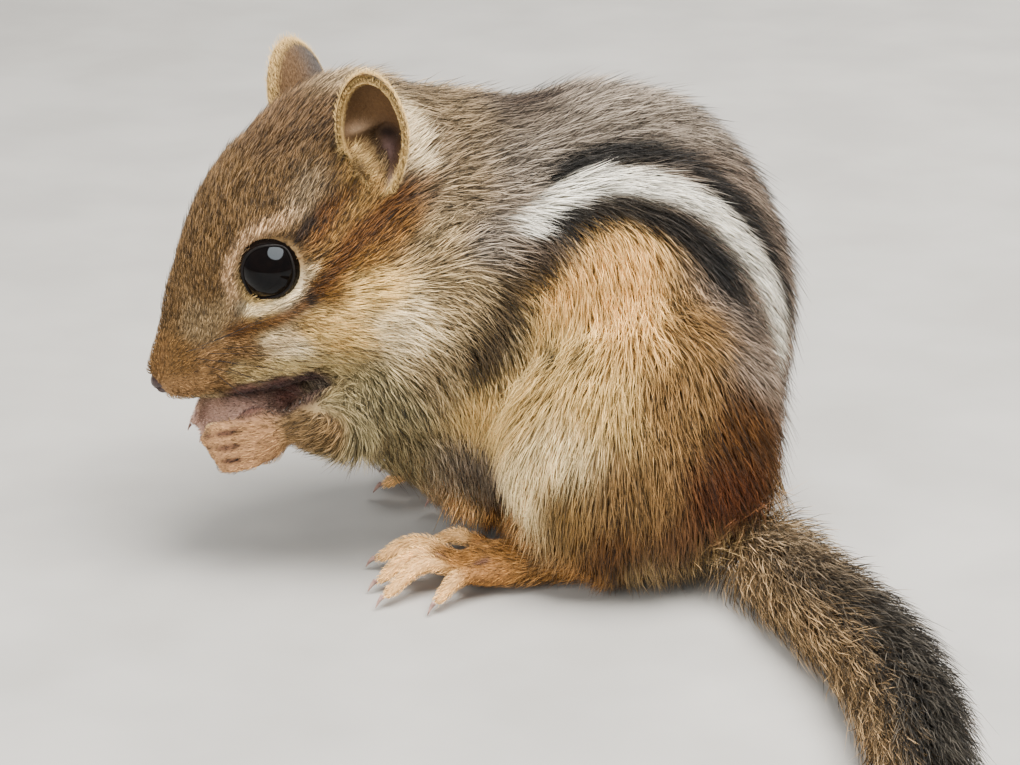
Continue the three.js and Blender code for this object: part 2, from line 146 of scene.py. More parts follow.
def tubeForm(line, size, sides, upright, flat=1.0, ends=(0.0, 0.0)):
    # a tube along a line: line + size (flat cos side + sin up), its ends drawn out by the given lengths
    slope = unit(np.gradient(line, axis=0))
    side = unit(np.cross(slope, upright))[:, None]
    up = np.cross(side, slope[:, None])
    turn = np.linspace(0, 2 * math.pi, sides, endpoint=False)[None, :, None]
    rows = line[:, None] + size[:, None, None] * (flat * np.cos(turn) * side + np.sin(turn) * up)
    return outwards(*closedTube(rows, line[:1] - slope[:1] * ends[0], line[-1:] + slope[-1:] * ends[1]))


def joinForms(forms):
    # puts closed forms into one list of points and faces
    points, quads, caps, count = [], [], [], 0
    for p, q, c in forms:
        points.append(p)
        quads.append(q + count)
        caps.append(c + count)
        count += len(p)
    return np.vstack(points), np.vstack(quads), np.vstack(caps)


def sweepForm(centres, ups, sidesAxis, sides=48, rings=40, blunt=0.5, pinch=0.0):
    # latitudes of a sphere carried along a line: share along = (1 - cos) / 2, size = sin ** blunt
    angle = np.linspace(0, math.pi, rings + 2)[1:-1]
    along = (1 - np.cos(angle)) / 2
    full = (np.sin(angle) ** blunt)[:, None]
    turn = np.linspace(0, 2 * math.pi, sides, endpoint=False)[None, :]
    high = full * np.cos(turn)
    wide = full * np.sin(turn) * (1 - pinch * high)
    centre = splineAt(centres, along)[:, None, :]
    up = splineAt(ups, along)[:, None, :]
    side = splineAt(sidesAxis, along)[:, None, :]
    rows = centre + up * high[..., None] + side * wide[..., None]
    ends = np.array([0.0, 1.0])
    tips = splineAt(centres, ends)
    return outwards(*closedTube(rows, tips[:1], tips[1:]))


def midlineForm(rows, **shape):
    # rows: top x, top z, bottom x, bottom z, half width of a form that is alike on both sides
    r = np.asarray(rows, float)
    flat = np.zeros(len(r))
    centre = np.stack([(r[:, 0] + r[:, 2]) / 2, flat, (r[:, 1] + r[:, 3]) / 2], -1)
    up = np.stack([(r[:, 0] - r[:, 2]) / 2, flat, (r[:, 1] - r[:, 3]) / 2], -1)
    return sweepForm(centre, up, np.stack([flat, r[:, 4], flat], -1), **shape)


def limbAxes(rows, upright):
    # the half-axes of a limb square to its line of centres: side = upright x along, up = along x side
    r = np.asarray(rows, float)
    centre = r[:, :3]
    ahead = np.vstack([centre[1:], centre[-1:]])
    behind = np.vstack([centre[:1], centre[:-1]])
    along = unit(ahead - behind)
    side = unit(np.cross(np.broadcast_to(upright, along.shape), along))
    return centre, np.cross(along, side) * r[:, 3:4], side * r[:, 4:5]


def limbForm(rows, upright=(0, 0, 1), **shape):
    return sweepForm(*limbAxes(rows, upright), **shape)


# Camera, floor, light

view = {
    "target": (-17.5, 0, 20.3),  # mm; what the middle of the picture shows
    "distance": 450,
    "elevation": 20,
    "pixelsPerMillimetre": 8,  # at the target
    "pictureWidth": 1020,
}


def makeCamera():
    target = Vector(view["target"]) * mm
    tilt = math.radians(view["elevation"])
    away = Vector((0, -math.cos(tilt), math.sin(tilt)))
    data = bpy.data.cameras.new("camera")
    data.sensor_width = 36
    data.lens = data.sensor_width * view["distance"] * view["pixelsPerMillimetre"] / view["pictureWidth"]
    data.clip_start = 0.01
    camera = bpy.data.objects.new("camera", data)
    camera.location = target + away * view["distance"] * mm
    camera.rotation_euler = Euler((math.pi / 2 - tilt, 0, 0))
    bpy.context.scene.collection.objects.link(camera)
    bpy.context.scene.camera = camera


studio = {
    "world": (0.80, 0.86, 0.95),
    "worldStrength": 0.34,
    # name: place in mm, size in mm, watts, colour
    "lamps": {
        "overhead": ((110, -150, 520), 480, 13.5, (1.0, 0.97, 0.93)),
        "front": ((-260, -400, 230), 300, 3.2, (1.0, 0.985, 0.96)),
        "rim": ((160, 330, 300), 220, 1.6, (1.0, 0.98, 0.95)),
    },
}


def makeStudio():
    world = bpy.data.worlds.new("studio")
    world.use_nodes = True
    background = world.node_tree.nodes["Background"]
    background.inputs["Color"].default_value = (*studio["world"], 1)
    background.inputs["Strength"].default_value = studio["worldStrength"]
    bpy.context.scene.world = world
    target = Vector(view["target"]) * mm
    for name, (place, size, watts, colour) in studio["lamps"].items():
        data = bpy.data.lights.new(name, "AREA")
        data.shape = "DISK"
        data.size = size * mm
        data.energy = watts
        data.color = colour
        lamp = bpy.data.objects.new(name, data)
        lamp.visible_glossy = name == "overhead"  # one catchlight in the eye
        lamp.location = Vector(place) * mm
        lamp.rotation_euler = (target - lamp.location).to_track_quat("-Z", "Y").to_euler()
        bpy.context.scene.collection.objects.link(lamp)


# Materials

def newMaterial(name):
    material = bpy.data.materials.new(name)
    material.use_nodes = True
    return material, material.node_tree.nodes, material.node_tree.links


def setShader(shader, **values):
    for socket, value in values.items():
        shader.inputs[socket.replace("_", " ")].default_value = value


hairBands = {
    "rootEnd": 0.6,  # shares of the hair's length
    "darkStart": (0.35, 0.55),
    "darkEnd": (0.97, 0.8),
    "darkness": 0.88,
    "liftStart": 0.6,
}


def makeAgoutiGroup():
    # bands of one hair: a dark root, a dark band below the tip on some hairs, and a paler tip
    group = bpy.data.node_groups.new("agoutiHair", "ShaderNodeTree")
    for name, kind, value in [
        ("Colour", "NodeSocketColor", (0.5, 0.4, 0.3, 1)),
        ("Along", "NodeSocketFloat", 1.0),
        ("Seed", "NodeSocketFloat", 0.5),
        ("Ticks", "NodeSocketFloat", 0.3),
        ("Root", "NodeSocketFloat", 0.3),
        ("Lift", "NodeSocketFloat", 0.25),
    ]:
        group.interface.new_socket(name, in_out="INPUT", socket_type=kind).default_value = value
    group.interface.new_socket("Colour", in_out="OUTPUT", socket_type="NodeSocketColor")
    nodes, links = group.nodes, group.links
    source = nodes.new("NodeGroupInput")
    result = nodes.new("NodeGroupOutput")

    def maths(kind, *values):
        node = nodes.new("ShaderNodeMath")
        node.operation = kind
        for socket, value in zip(node.inputs, values):
            if isinstance(value, (int, float)):
                socket.default_value = value
            else:
                links.new(value, socket)
        return node.outputs[0]

    def ramp(value, low, high, start=0.0, end=1.0):
        node = nodes.new("ShaderNodeMapRange")
        node.interpolation_type = "SMOOTHSTEP"
        links.new(value, node.inputs["Value"])
        for socket, number in zip(("From Min", "From Max", "To Min", "To Max"), (low, high, start, end)):
            if isinstance(number, (int, float)):
                node.inputs[socket].default_value = number
            else:
                links.new(number, node.inputs[socket])
        return node.outputs["Result"]

    def scaled(colour, factor):
        node = nodes.new("ShaderNodeVectorMath")
        node.operation = "SCALE"
        links.new(colour, node.inputs[0])
        links.new(factor, node.inputs["Scale"])
        return node.outputs["Vector"]

    along = source.outputs["Along"]
    rootShade = ramp(along, 0.0, hairBands["rootEnd"], source.outputs["Root"], 1.0)
    ticked = maths("LESS_THAN", source.outputs["Seed"], source.outputs["Ticks"])
    band = maths("MULTIPLY", ramp(along, *hairBands["darkStart"]), ramp(along, *hairBands["darkEnd"]))
    banded = maths("MULTIPLY", maths("MULTIPLY", band, ticked), hairBands["darkness"])
    dark = maths("SUBTRACT", 1.0, banded)
    lift = maths("MULTIPLY_ADD", ramp(along, hairBands["liftStart"], 1.0), source.outputs["Lift"], 1.0)
    shade = maths("MULTIPLY", maths("MULTIPLY", rootShade, dark), lift)
    links.new(scaled(source.outputs["Colour"], shade), result.inputs["Colour"])
    return group


def attribute(nodes, name):
    node = nodes.new("ShaderNodeAttribute")
    node.attribute_name = name
    return node


coatLook = {
    "roughness": 0.58,
    "specular": 0.18,
    "sheen": 0.03,
    "sheenRoughness": 0.45,
}


def coatMaterial(name, group, ticks, root, lift):
    # one finish of hair: colour painted on the hair, banded by its own length and seed
    material, nodes, links = newMaterial(name)
    shader = nodes["Principled BSDF"]
    bands = nodes.new("ShaderNodeGroup")
    bands.node_tree = group
    links.new(attribute(nodes, "coatColour").outputs["Color"], bands.inputs["Colour"])
    links.new(attribute(nodes, "along").outputs["Fac"], bands.inputs["Along"])
    links.new(attribute(nodes, "seed").outputs["Fac"], bands.inputs["Seed"])
    setShader(bands, Ticks=ticks, Root=root, Lift=lift)
    links.new(bands.outputs["Colour"], shader.inputs["Base Color"])
    setShader(
        shader, Roughness=coatLook["roughness"], Specular_IOR_Level=coatLook["specular"],
        Sheen_Weight=coatLook["sheen"], Sheen_Roughness=coatLook["sheenRoughness"],
    )
    return material


def addBump(nodes, links, shader, scale, strength, distance, detail=3.0):
    # fine unevenness from noise on the object's own place
    place = nodes.new("ShaderNodeTexCoord")
    noise = nodes.new("ShaderNodeTexNoise")
    noise.inputs["Scale"].default_value = scale
    noise.inputs["Detail"].default_value = detail
    bump = nodes.new("ShaderNodeBump")
    bump.inputs["Strength"].default_value = strength
    bump.inputs["Distance"].default_value = distance
    links.new(place.outputs["Object"], noise.inputs["Vector"])
    links.new(noise.outputs["Fac"], bump.inputs["Height"])
    links.new(bump.outputs["Normal"], shader.inputs["Normal"])
    return noise


skinLook = {
    "bumpScale": 2600,
    "bumpStrength": 0.5,
    "bumpDistance": 0.0003,
    "shading": 0.5,  # how far the noise darkens the markings
    "roughness": 0.75,
    "specular": 0.2,
}


def skinMaterial():
    # skin and underfur: the coat's own markings, shaded down, with fine bump
    material, nodes, links = newMaterial("skinAndUnderfur")
    shader = nodes["Principled BSDF"]
    bump = (skinLook["bumpScale"], skinLook["bumpStrength"], skinLook["bumpDistance"])
    noise = addBump(nodes, links, shader, *bump)
    mix = nodes.new("ShaderNodeMix")
    mix.data_type = "RGBA"
    mix.blend_type = "MULTIPLY"
    mix.inputs["Factor"].default_value = skinLook["shading"]
    links.new(attribute(nodes, "coatColour").outputs["Color"], mix.inputs["A"])
    links.new(noise.outputs["Fac"], mix.inputs["B"])
    links.new(mix.outputs["Result"], shader.inputs["Base Color"])
    setShader(shader, Roughness=skinLook["roughness"], Specular_IOR_Level=skinLook["specular"])
    return material


def plainMaterial(name, low, high, roughness, scale, bump, distance, **shine):
    # two near colours mixed by noise, with fine bump
    material, nodes, links = newMaterial(name)
    shader = nodes["Principled BSDF"]
    noise = addBump(nodes, links, shader, scale, bump, distance)
    ramp = nodes.new("ShaderNodeValToRGB")
    ramp.color_ramp.elements[0].position = 0.35
    ramp.color_ramp.elements[1].position = 0.65
    ramp.color_ramp.elements[0].color = (*linear(low), 1)
    ramp.color_ramp.elements[1].color = (*linear(high), 1)
    links.new(noise.outputs["Fac"], ramp.inputs["Fac"])
    links.new(ramp.outputs["Color"], shader.inputs["Base Color"])
    setShader(shader, Roughness=roughness, **shine)
    return material


# Head, in its own frame
# The nose tip is the origin, x runs back from it, z up; the left side is -y.

head = {
    "place": (-61, -12.8, 25.8),
    "roll": -4,
    "pitch": -32,
    "yaw": 21,
    # distance behind the nose tip, top, bottom, half width
    "skull": [
        (-0.3, 2.5, -4.9, 3.5), (3.4, 4.6, -7.0, 5.0), (8, 8.4, -9.4, 7.2), (14, 12.6, -12.0, 10.6),
        (20, 15.8, -14.2, 13.0), (27, 18.0, -15.8, 14.6), (34, 19.0, -15.8, 15.2),
        (41, 19.0, -14.5, 14.8), (48, 14, -9, 10),
    ],
    # place, reach and push of the cheek, the lip and the brow
    "swellings": [
        ((27, -12.5, -8), 9, (0, -2.4, -0.8)),
        ((4.5, -4, -3.6), 3.2, (0, -0.4, -0.2)),
        ((18, -8.5, 12), 5, (0, -0.6, 0.4)),
    ],
}
headTurn = Matrix.Rotation(math.radians(head["yaw"]), 3, "Z")
headTurn = headTurn @ Matrix.Rotation(math.radians(head["pitch"]), 3, "Y")
headTurn = np.array(headTurn @ Matrix.Rotation(math.radians(head["roll"]), 3, "X"))
flipY = np.array([1.0, -1.0, 1.0])


def headToBody(points):
    return np.asarray(points, float) @ headTurn.T + np.array(head["place"])


def bodyToHead(points):
    return (np.asarray(points, float) - np.array(head["place"])) @ headTurn


def skullForm():
    rows = [(x, top, x, bottom, half) for x, top, bottom, half in head["skull"]]
    points, quads, caps = midlineForm(rows, sides=96, rings=96, blunt=0.38, pinch=0.1)
    moved = points.copy()
    for at, reach, push in head["swellings"]:
        for flip in (1.0, flipY):
            near = np.exp(-((points - np.array(at) * flip) ** 2).sum(1) / reach**2)
            moved += near[:, None] * np.array(push) * flip
    return headToBody(moved), quads, caps


# Body forms

body = {
    # top x, top z, bottom x, bottom z, half width, from the neck to the root of the tail
    "trunk": [
        (-37, 56, -50, 34, 11), (-32, 61.5, -47, 22, 15), (-25, 60, -42.5, 14.8, 17.5),
        (-17, 58.3, -37.5, 11, 18.5), (-8, 59.3, -31, 7.6, 19), (3, 57.2, -22.5, 3.4, 19.5),
        (11.5, 50, -12, -3, 19.5), (17.5, 38, -4, -5, 18.5), (18, 26, 2, -6, 16),
        (14, 13, 6, -6, 12), (10, 4, 7, -5, 6),
    ],
    # limbs: x, y, z, half height, half width; the left side, mirrored unless it is given
    "thigh": [
        (5, -10, 41, 7, 5), (3, -14, 33, 14, 9.5), (-1, -16, 24, 18, 11),
        (-3, -17, 15, 17.5, 11), (-4.5, -17, 7, 14, 9.5), (-5, -16, 1.5, 10, 7),
    ],
    "foot": [
        (1, -15.5, 4.2, 4, 3.6), (-6, -16, 3.8, 3.9, 3.7), (-14, -16.6, 3.3, 3.3, 4.0),
        (-21, -17, 2.6, 2.7, 4.8), (-25, -17, 2.0, 2.0, 4.4),
    ],
    "toes": [
        ((-18, -14, 2.6), (-23.5, -9.8, 3.6), (-27.5, -7.2, 1.6)),
        ((-22.5, -14.8, 2.4), (-29, -12.8, 4.0), (-34.2, -12.4, 1.4)),
        ((-23, -16.6, 2.4), (-29, -17.4, 4.2), (-33.8, -19.4, 1.3)),
        ((-22.5, -18.6, 2.4), (-28, -20.4, 4.2), (-32.8, -24.2, 1.3)),
        ((-18, -19.8, 2.4), (-23.2, -22.6, 3.6), (-26.6, -26.0, 1.2)),
    ],
    "toeRadius": 1.45,
    "upperArm": [(-25, -11, 34, 7.5, 5), (-30, -13, 26, 7.8, 5), (-34.5, -13.8, 21.6, 5.8, 4.6)],
    "forearm": {
        "left": [
            (-33, -15, 20.0, 5.2, 4.3), (-39, -15.2, 20.7, 4.6, 3.7), (-44.5, -14.8, 20.3, 3.2, 2.6),
        ],
        "right": [
            (-34, 9, 19.4, 4.8, 4.2), (-39.5, 3.5, 20.2, 4.4, 3.6), (-47.5, -4.4, 19.9, 3.4, 2.6),
        ],
    },
    "palm": {
        "left": [
            (-44, -14.8, 20.2, 3.0, 2.3), (-47.5, -14.6, 18.9, 3.9, 2.0), (-51, -14.2, 18.4, 3.6, 1.5),
        ],
        "right": [
            (-44.8, -2.6, 20.0, 3.0, 2.2), (-48.2, -5.0, 19.4, 3.6, 2.0), (-51.4, -7.0, 18.8, 3.5, 1.7),
        ],
    },
    # first finger: root, knuckle, tip; the others are set below it
    "finger": {
        "left": ((-47.6, -15.7, 21.2), (-53.4, -16, 20.4), (-55.4, -12.8, 19.2)),
        "right": ((-50.2, -6.6, 21.2), (-55.2, -6.8, 21), (-57, -9.4, 19.8)),
    },
    "fingerCount": 4,
    "fingerStep": 1.9,
    "fingerStagger": 1.3,  # how much farther back each finger ends than its longer neighbour
    "longestFinger": 0.8,  # between the first and the second from above
    "fingerConverge": 0.08,  # how much nearer together the fingers lie at each joint, as a share
    "fingerRadius": 1.0,
    "digitTaper": 0.06,
    "tail": [
        (7, -3, 6.6, 3.0, 3.2), (10.5, -11, 5.4, 2.9, 3.0), (14.5, -21, 4.9, 2.7, 2.9),
        (19, -33, 4.9, 2.7, 3.0), (23, -45, 5.0, 2.8, 3.1), (25.5, -58, 5.1, 2.8, 3.1),
        (26.4, -71, 5.1, 2.7, 3.0), (26.2, -83, 4.8, 2.3, 2.6), (25.4, -92, 4.4, 1.5, 1.7),
    ],
    "skinVoxel": 0.5,
}


def mirrorRows(rows):
    return [(x, -y, *rest) for x, y, *rest in rows]


def digitRows(points, radius):
    sizes = [radius * (1 - body["digitTaper"] * i) for i in range(len(points))]
    return [(*p, size, size) for p, size in zip(points, sizes)]


def fingerPoints(side):
    # the fingers lie below one another, and the second one is the longest
    rows = []
    for i in range(body["fingerCount"]):
        shorter = body["fingerStagger"] * abs(i - body["longestFinger"])
        down = body["fingerStep"] * i
        rows.append([
            (x + shorter * joint / 2, y, z - down * (1 - body["fingerConverge"] * joint))
            for joint, (x, y, z) in enumerate(body["finger"][side])
        ])
    return rows


def bodyForms():
    forms = [skullForm(), midlineForm(body["trunk"], sides=96, rings=90, blunt=0.3)]
    for flip in (list, mirrorRows):
        forms.append(limbForm(flip(body["thigh"]), (1, 0, 0), sides=64, rings=48, blunt=0.6))
        forms.append(limbForm(flip(body["upperArm"]), (1, 0, 0)))
        forms.append(limbForm(flip(body["foot"])))
        for toe in body["toes"]:
            rows = digitRows(flip(toe), body["toeRadius"])
            forms.append(limbForm(rows, sides=20, rings=24, blunt=0.45))
    for side in ("left", "right"):
        forms.append(limbForm(body["forearm"][side], sides=32, rings=30))
        forms.append(limbForm(body["palm"][side], sides=32, rings=30))
        for finger in fingerPoints(side):
            rows = digitRows(finger, body["fingerRadius"])
            forms.append(limbForm(rows, sides=16, rings=20, blunt=0.45))
    forms.append(limbForm(body["tail"], sides=24, rings=120, blunt=0.4))
    return forms


# Markings

# Colours of the hair, as sRGB shares.
hairColours = {
    "forehead": (0.425, 0.325, 0.20),
    "crown": (0.41, 0.315, 0.21),
    "nape": (0.65, 0.56, 0.43),
    "rustyMuzzle": (0.46, 0.34, 0.19),
    "rusty": (0.42, 0.27, 0.125),
    "rufous": (0.60, 0.43, 0.20),
    "orange": (0.60, 0.455, 0.29),
    "paleFace": (0.53, 0.44, 0.31),
    "ring": (0.76, 0.62, 0.46),
    "cream": (0.98, 0.90, 0.73),
    "yellowCream": (0.86, 0.76, 0.53),
    "buff": (0.90, 0.76, 0.48),
    "oliveBuff": (0.65, 0.59, 0.43),
    "greyBuff": (0.74, 0.64, 0.47),
    "tawny": (0.66, 0.51, 0.31),
    "amber": (0.60, 0.46, 0.25),
    "golden": (0.98, 0.79, 0.48),
    "grizzled": (0.64, 0.585, 0.52),
    "grizzledDark": (0.42, 0.37, 0.32),
    "grizzledWarm": (0.61, 0.535, 0.465),
    # russet rump hair, painted darker as the shade on the rump's rear edge
    "russetAndShade": (0.42, 0.24, 0.13),
    "tailRoot": (0.68, 0.57, 0.39),
    "thighCream": (1.0, 0.90, 0.68),
    "stripe": (1.0, 0.98, 0.92),
    # the white belly hair, painted darker as the shade under the body
    "whiteInShade": (0.70, 0.64, 0.54),
    # painted shade: the dark of the shaded underside, between the thigh, the foot and the chest, and
    # under the chin
    "belly": (0.58, 0.52, 0.45),
    "black": (0.155, 0.15, 0.145),
    "darkBrown": (0.17, 0.12, 0.09),
    "foot": (0.68, 0.48, 0.25),
    "toe": (1.0, 0.80, 0.52),
    "forearm": (0.59, 0.47, 0.31),
    "hand": (0.75, 0.58, 0.39),
    # the right hand's pale grey-pink, painted lighter as light where the head shades it
    "handPaleAndLit": (0.84, 0.70, 0.63),
    # mauve skin of the lips, darkened as painted shade under the jaw and in the slits between the toes
    "mauveAndShade": (0.36, 0.27, 0.26),
    "lipSkin": (0.50, 0.37, 0.35),
}

# Places on the head, left side, in the head's frame:
# x, y, z, the way the hair lies, how high the coat stands, length of the hair, colour
headPlaces = [
    (1.5, -1.0, 2.4, (0.6, 0, 0.8), 0.40, 1.0, "rustyMuzzle"),
    (6.0, -1.5, 7.0, (0.8, 0, 0.6), 0.55, 1.5, "forehead"),
    (12.0, -2.0, 11.5, (0.85, 0, 0.5), 0.8, 2.0, "forehead"),
    (20.0, -3.0, 15.8, (0.9, 0, 0.42), 1.1, 2.6, "forehead"),
    (30.0, -3.0, 18.3, (1, 0, 0.2), 1.5, 3.3, "crown"),
    (36.0, -8.0, 17.6, (1, 0, 0.1), 1.6, 3.4, "crown"),
    (42.0, -3.0, 18.6, (1, 0, 0.0), 2.2, 4.2, "nape"),
    (3.8, -4.0, 0.9, (0.8, -0.3, 0), 0.45, 1.1, "rustyMuzzle"),
    (7.8, -5.8, 3.6, (0.75, 0, 0.6), 0.5, 1.4, "paleFace"),
    (7.1, -6.4, -0.9, (0.95, -0.2, -0.1), 0.5, 1.4, "orange"),
    (10.1, -8.2, -0.8, (0.95, 0, -0.3), 0.6, 1.8, "orange"),
    (2.5, -3.5, -3.5, (0.9, 0, -0.2), 0.4, 1.0, "orange"),
    (5.5, -5.2, -4.4, (0.95, 0, -0.2), 0.5, 1.4, "orange"),
    (9.1, -7.0, -5.0, (0.92, 0, -0.4), 0.7, 2.0, "yellowCream"),
    (13.5, -8.9, -6.7, (0.9, 0, -0.45), 0.9, 2.6, "yellowCream"),
    (17.4, -9.3, -9.7, (0.7, 0, -0.6), 1.4, 3.4, "yellowCream"),
    (14.5, -11.0, -3.2, (0.88, 0, -0.47), 0.9, 2.6, "cream"),
    (19.0, -13.2, -2.6, (0.88, 0, -0.47), 1.1, 3.0, "buff"),
    (21.1, -13.8, -6.3, (0.85, 0, -0.5), 1.8, 4.2, "buff"),
    # pale hair under the jaw, painted lighter still as the light thrown up from below
    (26.6, -14.7, -8.8, (0.7, 0, -0.7), 2.6, 5.0, "cream"),
    (26.6, -15.4, -2.8, (0.9, 0, -0.4), 1.9, 4.4, "buff"),
    (22.3, -13.8, 1.0, (0.95, 0, -0.2), 0.9, 2.6, "rufous"),
    (28.2, -14.8, 2.0, (0.97, 0, -0.05), 1.3, 3.2, "rufous"),
    (34.1, -14.6, 2.3, (1, 0, 0), 1.8, 3.8, "rufous"),
    (36.4, -14.3, -2.0, (1, 0, -0.2), 2.6, 4.8, "greyBuff"),
    (27.3, -13.9, 5.1, (0.97, 0, 0.15), 0.8, 2.2, "rusty"),
    (28.7, -11.5, 10.3, (0.85, 0, 0.5), 1.1, 2.8, "forehead"),
    (32.4, -12.9, 7.8, (0.8, 0, 0.6), 1.1, 3.0, "amber"),
    (23.2, -10.3, 11.6, (0.85, 0, 0.45), 0.8, 2.0, "forehead"),
    (17.0, -8.0, 12.4, (0.85, 0, 0.5), 0.8, 1.9, "forehead"),
    (11.5, -6.8, 7.6, (0.8, 0, 0.55), 0.6, 1.6, "forehead"),
    (12.4, -8.6, 3.6, (0.7, 0, 0.4), 0.45, 1.3, "paleFace"),
    (14.6, -10.4, 2.0, (0.85, 0, -0.4), 0.5, 1.5, "buff"),
    (18.2, -12.4, 1.2, (0.9, 0, -0.3), 0.6, 1.9, "cream"),
    (39.0, -13.0, 4.3, (1, 0, 0.1), 2.4, 4.4, "nape"),
    (3.0, -2.0, -6.4, (0.95, 0, -0.1), 0.4, 1.1, "greyBuff"),
    # the lower lip: mauve skin with painted shade under the jaw
    (7.5, -4.6, -7.9, (0.95, 0, -0.1), 0.25, 0.7, "mauveAndShade"),
    (11.5, -6.2, -9.0, (0.95, 0, -0.2), 0.3, 0.8, "mauveAndShade"),
    (15.0, -7.6, -10.2, (0.9, 0, -0.3), 0.5, 1.2, "mauveAndShade"),
    (9.0, -1.0, -9.4, (0.95, 0, -0.2), 0.6, 1.6, "mauveAndShade"),
    # painted shade under the chin
    (16.0, -4.0, -12.5, (0.9, 0, -0.4), 1.8, 4.8, "belly"),
    # pale hair under the jaw, painted lighter still as the light thrown up from below
    (28.0, -8.0, -15.5, (0.8, 0, -0.6), 2.6, 5.0, "yellowCream"),
]

